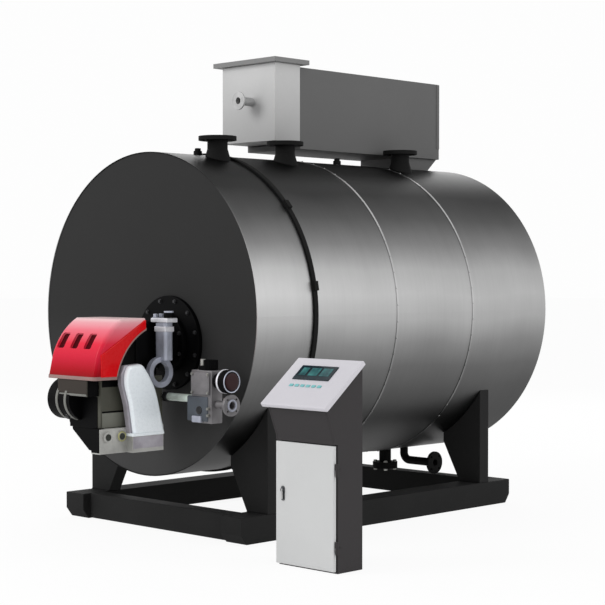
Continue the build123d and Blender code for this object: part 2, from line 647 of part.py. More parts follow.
def burner_casing():
    """The burner's body and front band under the hood, let in round the fan."""
    body = block(CASING_LEFT_X, CASING_RIGHT_X, CASING_FRONT_Y, CASING_REAR_Y,
                 CASING_BOTTOM_Z, CASING_TOP_Z)
    edge = body.edges().filter_by(Axis.Y).group_by(Axis.Z)[0].sort_by(Axis.X)[0]
    return fillet(edge, CASING_CORNER) - scroll_space(FIT_GAP) + band_space(0)


def air_intake():
    """The air box under the casing, beside the control box, with its outer lower edge cut off."""
    box = block(CASING_LEFT_X + INTAKE_LEFT_INSET, CONTROL_LEFT_X,
                CASING_FRONT_Y + INTAKE_FRONT_INSET, CONTROL_REAR_Y,
                CASING_BOTTOM_Z - INTAKE_HEIGHT, CASING_BOTTOM_Z)
    left = CASING_LEFT_X + INTAKE_LEFT_INSET
    floor = CASING_BOTTOM_Z - INTAKE_HEIGHT
    corner = [(left, floor), (left + INTAKE_CORNER_REACH, floor), (left, floor + INTAKE_CORNER)]
    return box - slab_y(corner, CASING_FRONT_Y, CONTROL_REAR_Y)


def burner_upper_body():
    """The body behind the hood, up to the neck."""
    return block(CASING_LEFT_X, HINGE_X - HINGE_CAP_WIDTH / 2,
                 HOOD_TOP_REAR_Y + FIT_GAP, CASING_REAR_Y, CASING_TOP_Z,
                 HOOD_TOP_Z - UPPER_BODY_DROP)


def fan_scroll():
    """The fan's round housing at the burner's front left, under the hood."""
    return scroll_space(0) - hood_solid(FIT_GAP) - band_space(FIT_GAP)


def hood_face():
    """The hood's side outline, curved back to the crown in front and hollow behind."""
    foot = (HOOD_FRONT_Y, CASING_TOP_Z)
    chin = (HOOD_FRONT_Y + HOOD_CHIN_DEPTH, CASING_TOP_Z + HOOD_CHIN_RISE)
    brow = (HOOD_FRONT_Y + HOOD_BROW_DEPTH, HOOD_TOP_Z - HOOD_BROW_DROP)
    crown = (HOOD_FRONT_Y + HOOD_CROWN_DEPTH, HOOD_TOP_Z)
    top_rear = (HOOD_TOP_REAR_Y, HOOD_TOP_Z)
    tail = (HOOD_TOP_REAR_Y - HOOD_TAIL_INSET, HOOD_TOP_Z - HOOD_TAIL_DROP)
    hollow = (HOOD_FRONT_Y + HOOD_HOLLOW_DEPTH, HOOD_TOP_Z - HOOD_HOLLOW_DROP)
    foot_rear = (HOOD_FRONT_Y + HOOD_FOOT_DEPTH, CASING_TOP_Z)
    edges = [Line(foot, chin), ThreePointArc(chin, brow, crown), Polyline(crown, top_rear, tail)]
    edges += [ThreePointArc(tail, hollow, foot_rear), Line(foot_rear, foot)]
    return make_face(edges)


def hood_solid(side_gap):
    """The hood's shape, made wider on each side by a gap."""
    width = HOOD_WIDTH + 2 * side_gap
    return Pos(HOOD_LEFT_X - side_gap, 0, 0) * extrude(Plane.YZ * hood_face(), amount=width)


def burner_hood():
    """The red hood over the burner's front."""
    return hood_solid(0)


def control_box():
    """The box with the two sockets and the cover's seat on the burner's right."""
    box = block(CONTROL_LEFT_X, CONTROL_RIGHT_X, CONTROL_FRONT_Y, CONTROL_REAR_Y,
                CONTROL_BOTTOM_Z, CASING_BOTTOM_Z)
    for n in range(2):
        box += rod_x(PLUG_DIAMETER, CONTROL_RIGHT_X, CONTROL_RIGHT_X + PLUG_DEPTH,
                     CONTROL_FRONT_Y + PLUG_FRONT_INSET + n * PLUG_PITCH,
                     CONTROL_BOTTOM_Z + PLUG_RISE)
    box += block(CONTROL_RIGHT_X, CONTROL_RIGHT_X + COVER_THICKNESS, COVER_FRONT_Y, COVER_REAR_Y,
                 CONTROL_BOTTOM_Z, COVER_BOTTOM_Z)
    return box


def side_cover():
    """The pale moulded cover on the burner's right, which leans forward as it rises."""
    outline = [(COVER_FRONT_Y + y, COVER_BOTTOM_Z + z) for y, z in COVER_OUTLINE]
    return slab_x(outline, CONTROL_RIGHT_X, CONTROL_RIGHT_X + COVER_THICKNESS)


def cover_bracket():
    """The block that carries the cover above the control box."""
    front = COVER_FRONT_Y + COVER_BRACKET_INSET
    return block(CASING_RIGHT_X, CONTROL_RIGHT_X, front, front + COVER_BRACKET_LENGTH,
                 CASING_BOTTOM_Z, CASING_BOTTOM_Z + COVER_BRACKET_HEIGHT)


def hinge_column():
    """The cast column of the burner's hinge, with the ring at its foot."""
    half_x = HINGE_COLUMN_WIDTH / 2
    half_y = HINGE_COLUMN_DEPTH / 2
    column = block(HINGE_X - half_x, HINGE_X + half_x, HINGE_Y - half_y, HINGE_Y + half_y,
                   HINGE_COLUMN_BOTTOM_Z, HINGE_COLUMN_TOP_Z)
    column = fillet(column.edges().filter_by(Axis.Z), HINGE_COLUMN_CORNER)
    ring = rod_x(YOKE_OUTER_DIAMETER, CONTROL_RIGHT_X - FIT_GAP - YOKE_THICKNESS,
                 CONTROL_RIGHT_X - FIT_GAP, YOKE_Y, YOKE_Z)
    return column + ring - rod_x(YOKE_INNER_DIAMETER, HINGE_X - half_x, HINGE_X + half_x,
                                 YOKE_Y, YOKE_Z)


def hinge_cap():
    """The cast head on the hinge column."""
    half_x = HINGE_CAP_WIDTH / 2
    half_y = HINGE_CAP_DEPTH / 2
    return block(HINGE_X - half_x, HINGE_X + half_x, HINGE_Y - half_y, HINGE_Y + half_y,
                 HINGE_COLUMN_TOP_Z, HINGE_COLUMN_TOP_Z + HINGE_CAP_THICKNESS)


# Gas train pieces
def gas_pipe():
    """The short pipe between the burner and the gas valve."""
    return rod_x(GAS_PIPE_DIAMETER, CASING_RIGHT_X, VALVE_LEFT_X, GAS_Y, GAS_Z)


def gas_valve():
    """The double gas valve's body."""
    half = VALVE_DEPTH / 2
    return block(VALVE_LEFT_X, VALVE_RIGHT_X, GAS_Y - half, GAS_Y + half,
                 VALVE_BOTTOM_Z, VALVE_TOP_Z)


def valve_cap():
    """The round actuator on the valve."""
    x = (VALVE_LEFT_X + VALVE_RIGHT_X) / 2 + VALVE_CAP_SHIFT
    return rod_z(VALVE_CAP_DIAMETER, VALVE_TOP_Z, VALVE_TOP_Z + VALVE_CAP_HEIGHT, x, GAS_Y)


def gas_pressure_switch():
    """The round pressure switch with its neck on the valve's end."""
    z = GAS_Z + SWITCH_RISE
    head_x = VALVE_RIGHT_X + SWITCH_NECK_LENGTH
    neck = rod_x(SWITCH_NECK_DIAMETER, VALVE_RIGHT_X, head_x, GAS_Y, z)
    return neck + rod_x(SWITCH_DIAMETER, head_x, VALVE_RIGHT_X + SWITCH_LENGTH, GAS_Y, z)


def gas_inlet():
    """The flanged stub that the gas line bolts to."""
    stub = flanged_neck(GAS_PIPE_DIAMETER, GAS_BORE, GAS_FLANGE_DIAMETER, GAS_FLANGE_THICKNESS,
                        GAS_BOLT_CIRCLE, GAS_BOLT_HOLE, GAS_BOLT_COUNT, INLET_LENGTH)
    return Pos(VALVE_RIGHT_X, GAS_Y, INLET_Z) * Rot(Y=90) * stub


# Console pieces
def console_side_outline():
    """The console's side, from the floor to the sloping desk, set back behind the door."""
    return [
        (CARCASS_FRONT_Y, 0), (CONSOLE_BACK_Y, 0), (CONSOLE_BACK_Y, CONSOLE_TOP_Z),
        (NOSE_Y, NOSE_TOP_Z), (NOSE_Y, NOSE_FOOT_Z),
        (CONSOLE_FRONT_Y, FASCIA_TOP_Z), (CONSOLE_FRONT_Y, FASCIA_BOTTOM_Z),
        (CARCASS_FRONT_Y, FASCIA_BOTTOM_Z),
    ]


def desk_slope():
    """The desk's rise and its run, as a unit direction from nose to back."""
    run = CONSOLE_BACK_Y - NOSE_Y
    rise = CONSOLE_TOP_Z - NOSE_TOP_Z
    length = sqrt(run ** 2 + rise ** 2)
    return run / length, rise / length, length


def console_side(x0):
    """One side panel of the console."""
    return slab_x(console_side_outline(), x0, x0 + CONSOLE_PANEL)


def between_sides(y0, y1, z0, z1):
    """A panel from one side panel to the other."""
    return block(CONSOLE_LEFT_X + CONSOLE_PANEL, CONSOLE_RIGHT_X - CONSOLE_PANEL, y0, y1, z0, z1)


def console_front():
    """The panel that leans out from over the door to the desk's nose."""
    t = CONSOLE_PANEL
    outline = [
        (CONSOLE_FRONT_Y, FASCIA_BOTTOM_Z), (CONSOLE_FRONT_Y + t, FASCIA_BOTTOM_Z),
        (CONSOLE_FRONT_Y + t, FASCIA_TOP_Z + t / 3), (NOSE_Y + t, NOSE_FOOT_Z + t / 3),
        (NOSE_Y + t, NOSE_TOP_Z + t * desk_slope()[1] / desk_slope()[0]),
        (NOSE_Y, NOSE_TOP_Z), (NOSE_Y, NOSE_FOOT_Z),
        (CONSOLE_FRONT_Y, FASCIA_TOP_Z),
    ]
    return slab_x(outline, CONSOLE_LEFT_X + t, CONSOLE_RIGHT_X - t)


def on_desk(solid, along, across):
    """Set a solid, drawn about the origin with Z out, on the desk's upper face."""
    run, rise, length = desk_slope()
    up = DESK_THICKNESS
    y = NOSE_Y + run * (length / 2 + along) - rise * up
    z = NOSE_TOP_Z + rise * (length / 2 + along) + run * up
    middle = (CONSOLE_LEFT_X + CONSOLE_RIGHT_X) / 2 + across
    plane = Plane(origin=(middle, y, z), x_dir=(1, 0, 0), z_dir=(0, -rise, run))
    return plane * solid


def console_desk():
    """The sloping desk top."""
    length = desk_slope()[2] + DESK_OVERHANG
    plate = Box(CONSOLE_WIDTH + 2 * DESK_OVERHANG, length, DESK_THICKNESS)
    return on_desk(Pos(0, 0, -DESK_THICKNESS / 2) * plate, -DESK_OVERHANG / 2, 0)


def console_screen():
    """The operating panel's glass."""
    glass = Pos(0, 0, SCREEN_THICKNESS / 2) * Box(SCREEN_WIDTH, SCREEN_DEPTH, SCREEN_THICKNESS)
    return on_desk(glass, SCREEN_RISE, PANEL_SHIFT)


def console_keys():
    """The row of keys below the screen."""
    keys = []
    for n in range(KEY_COUNT):
        across = PANEL_SHIFT + (n - (KEY_COUNT - 1) / 2) * KEY_PITCH
        key = Pos(0, 0, KEY_THICKNESS / 2) * Box(KEY_WIDTH, KEY_DEPTH, KEY_THICKNESS)
        keys.append(on_desk(key, -KEY_DROP, across))
    return Compound(keys)


def door_barrel(z0, bore):
    """One half of a hinge: a barrel on the hinge axis."""
    barrel = rod_z(HINGE_BARREL_DIAMETER, z0, z0 + HINGE_BARREL_LENGTH,
                   HINGE_AXIS_X, HINGE_AXIS_Y)
    if bore:
        barrel -= rod_z(bore, z0, z0 + HINGE_BARREL_LENGTH, HINGE_AXIS_X, HINGE_AXIS_Y)
    return barrel


def console_door():
    """The door leaf with its upper hinge barrels."""
    right = CONSOLE_RIGHT_X - DOOR_CLEARANCE
    leaf = block(CONSOLE_LEFT_X, right, CONSOLE_FRONT_Y, DOOR_BACK_Y, DOOR_FLOOR_GAP, DOOR_TOP_Z)
    bore = HINGE_PIN_DIAMETER + 2 * FIT_GAP
    for z in HINGE_ZS:
        z0 = z + HINGE_BARREL_LENGTH + FIT_GAP
        tab = block(right, HINGE_AXIS_X, HINGE_AXIS_Y - HINGE_TAB / 2,
                    HINGE_AXIS_Y + HINGE_TAB / 2, z0, z0 + HINGE_BARREL_LENGTH)
        tab -= rod_z(HINGE_BARREL_DIAMETER, z0, z0 + HINGE_BARREL_LENGTH,
                     HINGE_AXIS_X, HINGE_AXIS_Y)
        leaf += tab
        leaf += door_barrel(z0, bore)
    return leaf


def console_hinges():
    """The two hinge halves and pins fixed to the cabinet's right side."""
    halves = []
    for z in HINGE_ZS:
        half = door_barrel(z, 0)
        half += rod_z(HINGE_PIN_DIAMETER, z, z + 2 * HINGE_BARREL_LENGTH, HINGE_AXIS_X,
                      HINGE_AXIS_Y)
        half += block(CONSOLE_RIGHT_X, HINGE_AXIS_X, HINGE_AXIS_Y,
                      CARCASS_FRONT_Y + HINGE_PLATE_REACH, z, z + HINGE_BARREL_LENGTH)
        halves.append(half)
    return Compound(halves)


def console_door_handle():
    """The latch plate and grip near the door's free edge."""
    x = CONSOLE_LEFT_X + HANDLE_INSET
    grip = block(x - HANDLE_WIDTH / 2, x + HANDLE_WIDTH / 2, CONSOLE_FRONT_Y - HANDLE_DEPTH,
                 CONSOLE_FRONT_Y, HANDLE_Z - HANDLE_HEIGHT / 2, HANDLE_Z + HANDLE_HEIGHT / 2)
    return fillet(grip.edges().filter_by(Axis.Z).group_by(Axis.Y)[0], HANDLE_CORNER)


def plant():
    """Every piece by name, about the boiler's axis."""
    pieces = {
        "shell_jacket": shell_jacket(),
        "front_plate": end_plate(END_PLATE_RECESS),
        "rear_plate": end_plate(SHELL_LENGTH - END_PLATE_RECESS - END_PLATE_THICKNESS),
        "front_strap": strap(),
        "middle_seam": seam(MIDDLE_SEAM_Y),
        "rear_seam": seam(REAR_SEAM_Y),
        "skid_rail_right": skid_rail(),
        "skid_rail_left": mirror(skid_rail(), about=Plane.YZ),
        "skid_beam_front": cross_beam(RAIL_FRONT_Y + CROSS_BEAM_INSET),
        "skid_beam_rear": cross_beam(RAIL_REAR_Y - CROSS_BEAM_INSET - CROSS_BEAM_WIDTH),
        "saddle_leg_front_right": saddle_leg(LEG_FRONT_Y),
        "saddle_leg_front_left": mirror(saddle_leg(LEG_FRONT_Y), about=Plane.YZ),
        "saddle_leg_rear_right": saddle_leg(LEG_REAR_Y),
        "saddle_leg_rear_left": mirror(saddle_leg(LEG_REAR_Y), about=Plane.YZ),
        "nozzle_front": top_nozzle(NOZZLE_YS[0]),
        "nozzle_middle": top_nozzle(NOZZLE_YS[1]),
        "nozzle_rear": top_nozzle(NOZZLE_YS[2]),
        "socket_front": small_socket(SOCKET_X, SOCKET_FRONT_Y),
        "socket_rear": small_socket(SOCKET_X, SOCKET_REAR_Y),
        "drain_nozzle": drain_nozzle(),
        "drain_cover": drain_cover(),
        "blowdown_pipe": blowdown_pipe(),
        "flue_riser": flue_riser(),
        "economiser_duct": economiser_duct(),
        "outlet_box": outlet_box(),
        "stack_flange": stack_flange(),
        "sight_port": sight_port(),
        "burner_port_plate": burner_port_plate(),
        "burner_flange": burner_flange(),
        "burner_casing": burner_casing(),
        "air_intake": air_intake(),
        "burner_upper_body": burner_upper_body(),
        "fan_scroll": fan_scroll(),
        "burner_hood": burner_hood(),
        "control_box": control_box(),
        "cover_bracket": cover_bracket(),
        "side_cover": side_cover(),
        "hinge_column": hinge_column(),
        "hinge_cap": hinge_cap(),
        "gas_pipe": gas_pipe(),
        "gas_valve": gas_valve(),
        "valve_cap": valve_cap(),
        "gas_pressure_switch": gas_pressure_switch(),
        "gas_inlet": gas_inlet(),
        "console_side_left": console_side(CONSOLE_LEFT_X),
        "console_side_right": console_side(CONSOLE_RIGHT_X - CONSOLE_PANEL),
        "console_back": between_sides(CONSOLE_BACK_Y - CONSOLE_PANEL, CONSOLE_BACK_Y,
                                      0, CONSOLE_TOP_Z - CONSOLE_PANEL),
        "console_base": between_sides(CARCASS_FRONT_Y, CONSOLE_BACK_Y - CONSOLE_PANEL,
                                      0, CONSOLE_PANEL),
        "console_front": console_front(),
        "console_desk": console_desk(),
        "console_screen": console_screen(),
        "console_keys": console_keys(),
        "console_hinges": console_hinges(),
        "console_door": console_door(),
        "console_door_handle": console_door_handle(),
    }
    return pieces


os.makedirs("parts", exist_ok=True)
PIECES = plant()
BOX = Compound(list(PIECES.values())).bounding_box()
SHIFT = Pos(-BOX.center().X, -BOX.center().Y, -BOX.min.Z)
for name, piece in PIECES.items():
    export_step(SHIFT * piece, f"parts/{name}.step")
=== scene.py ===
"""Looks of a horizontal fire-tube boiler plant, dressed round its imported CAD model.

Lengths are metres, in the model's own frame: X across the boiler, Y along it from the burner end
to the rear, and Z up from the floor. Each sub-assembly is a class that models and dresses its
own pieces, and each finish is a small frozen class that builds one procedural material.
"""
import json
import logging
import math
from collections.abc import Callable, Iterable, Sequence
from dataclasses import dataclass, field
from enum import Enum

import bmesh
import bpy
from mathutils import Matrix, Vector

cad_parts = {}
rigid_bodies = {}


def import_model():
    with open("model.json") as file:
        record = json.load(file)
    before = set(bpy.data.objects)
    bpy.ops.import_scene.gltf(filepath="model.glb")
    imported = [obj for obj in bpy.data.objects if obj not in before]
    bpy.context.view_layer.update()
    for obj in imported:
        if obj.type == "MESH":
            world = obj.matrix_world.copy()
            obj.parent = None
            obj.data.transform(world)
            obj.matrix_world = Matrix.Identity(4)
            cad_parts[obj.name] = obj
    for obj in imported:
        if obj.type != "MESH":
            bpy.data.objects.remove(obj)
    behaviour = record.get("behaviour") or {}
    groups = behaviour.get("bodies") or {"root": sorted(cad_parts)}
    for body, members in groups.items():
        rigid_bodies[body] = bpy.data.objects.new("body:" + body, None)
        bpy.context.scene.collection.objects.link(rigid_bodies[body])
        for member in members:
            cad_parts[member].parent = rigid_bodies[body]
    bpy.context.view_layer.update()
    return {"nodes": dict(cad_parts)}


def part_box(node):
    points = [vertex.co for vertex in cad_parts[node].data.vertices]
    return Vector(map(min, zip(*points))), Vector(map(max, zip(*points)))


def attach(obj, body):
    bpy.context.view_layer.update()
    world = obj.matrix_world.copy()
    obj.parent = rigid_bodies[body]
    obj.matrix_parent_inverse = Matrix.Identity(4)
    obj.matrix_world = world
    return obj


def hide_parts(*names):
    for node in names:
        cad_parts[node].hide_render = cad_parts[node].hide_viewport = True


for leftover in list(bpy.data.objects):
    bpy.data.objects.remove(leftover)
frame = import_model()

LOG = logging.getLogger("boiler")
# How near to a plane a point counts as lying on it
HAIR = 0.001
# How far along a direction a normal or an edge has to run to count as parallel to it
ALONG = 0.9
# How much longer than its piece a cutter is
BEYOND = 1.2
# The part of its range that most of a noise lies in
MOST = (0.3, 0.7)
Triple = tuple[float, float, float]
Levels = float | Triple
Edge = tuple[float, ...]
Place = Sequence[float]
Test = Callable[[Vector, Vector], bool]
Socket = bpy.types.NodeSocket


class Body(str, Enum):
    """The moving bodies of the plant."""

    PLANT = "plant"
    DOOR = "console_door"


class Slot(str, Enum):
    """The record's material slots."""

    CLADDING = "cladding"
    END_PLATE = "end_plate_grey"
    SEAM = "seam_steel"
    BLACK = "black_paint"
    DUCT = "duct_grey"
    OUTLET = "outlet_grey"
    STUB = "stub_steel"
    BURNER_BLACK = "burner_black"
    CASING = "casing_brown"
    HOOD = "hood_red"
    COVER = "cover_pale"
    CAST = "cast_aluminium"
    PIPE = "pipe_steel"
    VALVE = "valve_grey"
    CONSOLE = "console_dark"
    DOOR = "door_grey"
    DESK = "desk_grey"
    SCREEN = "screen_glass"
    KEYS = "key_teal"
    HANDLE = "handle_steel"


class Axis(Enum):
    """The direction of a round piece: the turn that points it there, and the way it faces."""

    X = ((0.0, math.pi / 2, 0.0), (1.0, 0.0, 0.0))
    Y = ((math.pi / 2, 0.0, 0.0), (0.0, -1.0, 0.0))
    Z = ((0.0, 0.0, 0.0), (0.0, 0.0, 1.0))

    @property
    def turn(self) -> Triple:
        """The turn from upright to this direction."""
        return self.value[0]

    @property
    def face(self) -> Vector:
        """The way that the piece's visible end looks."""
        return Vector(self.value[1])


def shade(levels: Levels) -> tuple:
    """Turns display levels from 0 to 255 into a linear colour.

    Args:
        levels: One grey level, or the red, green and blue levels.

    Returns:
        Red, green, blue and an alpha of 1.
    """
    shares = [level / 255 for level in (levels if isinstance(levels, tuple) else (levels,) * 3)]
    return (*(share / 12.92 if share <= 0.04045 else ((share + 0.055) / 1.055) ** 2.4
              for share in shares), 1.0)


def dimmed(colour: Sequence[float], factor: float) -> tuple:
    """Returns a linear colour with its light scaled by a factor."""
    return (*(part * factor for part in colour[:3]), 1.0)


class Nodes:
    """A node tree in the making."""

    def __init__(self, tree: bpy.types.NodeTree) -> None:
        """Empties the tree and starts on it."""
        self.tree = tree
        tree.nodes.clear()

    def feed(self, target: Socket, source: object) -> None:
        """Links a socket to a target socket, or gives the target a fixed value."""
        if isinstance(source, Socket):
            self.tree.links.new(source, target)
        else:
            target.default_value = source

    def add(self, kind: str, inputs: dict[str | int, object] | None = None,
            **settings: object) -> bpy.types.bpy_prop_collection:
        """Adds a node.

        Args:
            kind: The node's type.
            inputs: What its inputs get, each a socket or a fixed value, by name or number.
            settings: Its properties by name.

        Returns:
            The node's outputs.
        """
        node = self.tree.nodes.new(kind)
        for key, value in settings.items():
            setattr(node, key, value)
        for key, value in (inputs or {}).items():
            self.feed(node.inputs[key], value)
        return node.outputs

    def total(self, first: Socket, second: Socket) -> Socket:
        """Returns the sum of two numbers."""
        return self.add("ShaderNodeMath", {0: first, 1: second})["Value"]

    def seen(self) -> Socket:
        """Returns 1 for what the camera, metal or glass looks at, and 0 for all other light."""
        rays = self.add("ShaderNodeLightPath")
        share = self.total(rays["Is Camera Ray"], rays["Is Glossy Ray"])
        share = self.total(share, rays["Is Transmission Ray"])
        share.node.use_clamp = True
        return share

    def mixed(self, share: Socket, first: Socket, second: Socket) -> Socket:
        """Mixes two shaders, by how much of the second shows."""
        return self.add("ShaderNodeMixShader", {0: share, 1: first, 2: second})["Shader"]


class NodeSheet(Nodes):
    """One material's nodes: a Principled shader on Object coordinates."""

    def __init__(self, name: str) -> None:
        """Starts a material of this name with its shader."""
        self.material = bpy.data.materials.new(name)
        self.material.use_nodes = True
        super().__init__(self.material.node_tree)
        self.paint = self.add("ShaderNodeBsdfPrincipled")["BSDF"]
        self.place = self.add("ShaderNodeTexCoord")["Object"]

    def noise(self, scale: float, stretch: Triple = (1, 1, 1), detail: float = 4,
              roughness: float = 0.55) -> Socket:
        """Adds cloudy noise.

        Args:
            scale: Cells per metre.
            stretch: How much finer the noise is along each axis.
            detail: Octaves of finer noise.
            roughness: How strong the finer octaves are.

        Returns:
            The factor, from 0 to 1.
        """
        spot = self.add("ShaderNodeMapping", {"Scale": stretch, "Vector": self.place})["Vector"]
        return self.add("ShaderNodeTexNoise", {"Vector": spot, "Scale": scale, "Detail": detail,
                                               "Roughness": roughness})["Fac"]

    def span(self, value: Socket, source: tuple[float, float],
             target: tuple[float, float] = (0.0, 1.0)) -> Socket:
        """Maps a value from one range to another, and clamps it."""
        ends = zip(("From Min", "From Max", "To Min", "To Max"), (*source, *target))
        return self.add("ShaderNodeMapRange", {"Value": value, **dict(ends)})["Result"]

    def ramp(self, value: Socket, stops: Sequence[tuple[float, tuple]]) -> Socket:
        """Turns a value from 0 to 1 into a colour, by each stop's position and colour."""
        outputs = self.add("ShaderNodeValToRGB", {"Fac": value})
        elements = outputs["Color"].node.color_ramp.elements
        while len(elements) < len(stops):
            elements.new(0.5)
        for element, (position, colour) in zip(elements, stops):
            element.position = position
            element.color = colour
        return outputs["Color"]

    def mottled(self, value: Socket, colour: tuple, variation: float) -> Socket:
        """Lets a colour drift darker and lighter by a share of itself, as a value tells."""
        return self.ramp(value, ((MOST[0], dimmed(colour, 1 - variation)),
                                 (MOST[1], dimmed(colour, 1 + variation))))

    def height(self) -> Socket:
        """Returns the height above the floor."""
        return self.add("ShaderNodeSeparateXYZ", {"Vector": self.place})["Z"]

    def wash(self, height: Socket, levels: Sequence[tuple[float, Levels]]) -> Socket:
        """Returns a colour that follows the height, by each stop's height and levels; the
        finishes paint highlights and shade by height with it.
        """
        bottom, top = levels[0][0], levels[-1][0]
        return self.ramp(self.span(height, (bottom, top)),
                         [((z - bottom) / (top - bottom), shade(level)) for z, level in levels])

    def blend(self, factor: object, first: object, second: object, mode: str = "MIX") -> Socket:
        """Mixes two colours.

        Args:
            factor: How much of the second colour shows, a socket or a fixed number.
            first: The first colour, a socket or a fixed colour.
            second: The second colour, a socket or a fixed colour.
            mode: The name of the way they mix.

        Returns:
            The mixed colour.
        """
        outputs = self.add("ShaderNodeMix", {"Factor": factor}, data_type="RGBA", blend_type=mode)
        mixed = next(socket for socket in outputs if socket.type == "RGBA")
        colours = [socket for socket in mixed.node.inputs if socket.type == "RGBA"]
        for socket, colour in zip(colours, (first, second)):
            self.feed(socket, colour)
        return mixed

    def bump(self, height: Socket, depth: float, strength: float = 1.0,
             under: Socket | None = None) -> Socket:
        """Adds relief.

        Args:
            height: The relief's height, from 0 to 1.
            depth: What a height of 1 stands for, in metres.
            strength: How much of the relief shows.
            under: A normal that this relief lies on.

        Returns:
            The normal.
        """
        lower = {} if under is None else {"Normal": under}
        return self.add("ShaderNodeBump", {"Height": height, "Distance": depth,
                                           "Strength": strength, **lower})["Normal"]

    def finish(self, colour: object, roughness: object, normal: Socket | None = None,
               metallic: float = 0.0, coat: float = 0.0, coat_roughness: float = 0.1,
               specular: float = 0.5, edge: float = 1.0,
               surface: Socket | None = None) -> bpy.types.Material:
        """Wires the shader and the output, and returns the material.

        Args:
            colour: The base colour, a socket or a fixed colour.
            roughness: The roughness, a socket or a number.
            normal: The relief's normal.
            metallic: How far the surface is metal.
            coat: The weight of a clear coat.
            coat_roughness: That coat's roughness.
            specular: How strongly a bare painted surface mirrors.
            edge: How bright a surface seen at a glancing angle mirrors.
            surface: What shows in place of the plain shader.

        Returns:
            The finished material.
        """
        values = {"Base Color": colour, "Roughness": roughness, "Metallic": metallic,
                  "Coat Weight": coat, "Coat Roughness": coat_roughness,
                  "Specular IOR Level": specular, "Specular Tint": (edge, edge, edge, 1.0)}
        if normal is not None:
            values["Normal"] = normal
        for key, value in values.items():
            self.feed(self.paint.node.inputs[key], value)
        self.add("ShaderNodeOutputMaterial", {"Surface": surface or self.paint})
        return self.material


@dataclass(frozen=True)
class Finish:
    """What every finish has: a name, its slot in the record and a way to build its material."""

    name: str
    slot: Slot | None = None

    def build(self) -> bpy.types.Material:
        """Returns the finish's material, made once."""
        made = bpy.data.materials.get(self.name)
        return made if made is not None else self.make()

    def make(self) -> bpy.types.Material:
        """Builds the material's nodes."""
        raise NotImplementedError


@dataclass(frozen=True)
class PaintedSteel(Finish):
    """Sprayed paint on steel, with orange peel and rubbed patches, and where given a painted
    shade that darkens it by height.
    """

    colour: Levels = 64
    roughness: float = 0.5
    variation: float = 0.12
    peel: float = 0.00012
    specular: float = 0.2
    # Painted shade by height: the height where it starts, the height where it is full, and the
    # level that the colour is multiplied by there.
    painted_shade: tuple[float, float, int] | None = None

    def make(self) -> bpy.types.Material:
        """Builds the material's nodes."""
        sheet, colour = NodeSheet(self.name), shade(self.colour)
        broad = sheet.noise(1.7, detail=5)
        fine = sheet.noise(38.0, detail=6, roughness=0.65)
        tone = sheet.blend(sheet.span(fine, (0.55, 0.8), (0.0, 0.35)),
                           sheet.mottled(broad, colour, self.variation),
                           dimmed(colour, 1 + 3 * self.variation))
        # Painted shade: the colour is multiplied down towards the given level between the two
        # heights.
        if self.painted_shade:
            start, end, level = self.painted_shade
            share = sheet.span(sheet.height(), (start, end))
            tone = sheet.blend(share, tone, shade(level), "MULTIPLY")
        rough = sheet.span(broad, MOST, (self.roughness - 0.06, self.roughness + 0.07))
        grain = sheet.noise(420.0, detail=2)
        peel = sheet.bump(grain, self.peel, 0.6, sheet.bump(fine, self.peel * 3, 0.35))
        return sheet.finish(tone, rough, peel, specular=self.specular)


@dataclass(frozen=True)
class BrushedSheet(Finish):
    """Stainless sheet brushed round the shell, whose tone follows the height on the shell: its
    levels paint a highlight band and the shade towards the top and the underside.
    """

    roughness: float = 0.4
    levels: tuple[tuple[float, float], ...] = ()
    metallic: float = 1.0
    glance: float = 0.75

    def make(self) -> bpy.types.Material:
        """Builds the material's nodes."""
        sheet = NodeSheet(self.name)
        drift = sheet.span(sheet.noise(1.1, detail=3), MOST, (-0.03, 0.03))
        # Painted highlight and painted shade: the tone is set by the height, from the levels.
        tone = sheet.wash(sheet.total(sheet.height(), drift), self.levels)
        lines = sheet.noise(1.0, (1.5, 900.0, 1.5), 5, 0.7)
        streaks = sheet.noise(1.0, (0.8, 55.0, 0.8), 4, 0.6)
        cloud = sheet.noise(2.3, (1, 1.6, 1))
        for pattern, reach, share, level in ((lines, (0.35, 0.75), 0.14, 236),
                                             (streaks, (0.42, 0.7), 0.07, 196),
                                             (cloud, (0.35, 0.7), 0.18, 214)):
            tone = sheet.blend(sheet.span(pattern, reach, (0.0, share)), tone, shade(level),
                               "MULTIPLY")
        rough = sheet.span(lines, MOST, (self.roughness - 0.03, self.roughness + 0.04))
        relief = sheet.bump(lines, 0.00003, 0.5, sheet.bump(cloud, 0.0015, 0.25))
        return sheet.finish(tone, rough, relief, self.metallic, edge=self.glance)


@dataclass(frozen=True)
class BareMetal(Finish):
    """Bright drawn or cast metal, with its grain and darker patches."""

    colour: Levels = 188
    roughness: float = 0.35
    grain: float = 120.0
    depth: float = 0.0004
    patches: float = 0.35
    metallic: float = 0.9

    def make(self) -> bpy.types.Material:
        """Builds the material's nodes."""
        sheet, colour = NodeSheet(self.name), shade(self.colour)
        cloud = sheet.noise(9.0, detail=5)
        grain = sheet.noise(self.grain, detail=6, roughness=0.7)
        tone = sheet.ramp(cloud, ((0.3, dimmed(colour, 1 - self.patches)), (0.62, colour),
                                  (0.8, dimmed(colour, 1 + self.patches / 2))))
        pits = sheet.span(grain, (0.6, 0.75), (0.0, 0.5))
        tone = sheet.blend(pits, tone, dimmed(colour, 0.35))
        rough = sheet.span(grain, MOST, (self.roughness - 0.08, self.roughness + 0.12))
        return sheet.finish(tone, rough, sheet.bump(grain, self.depth, 0.6), self.metallic)


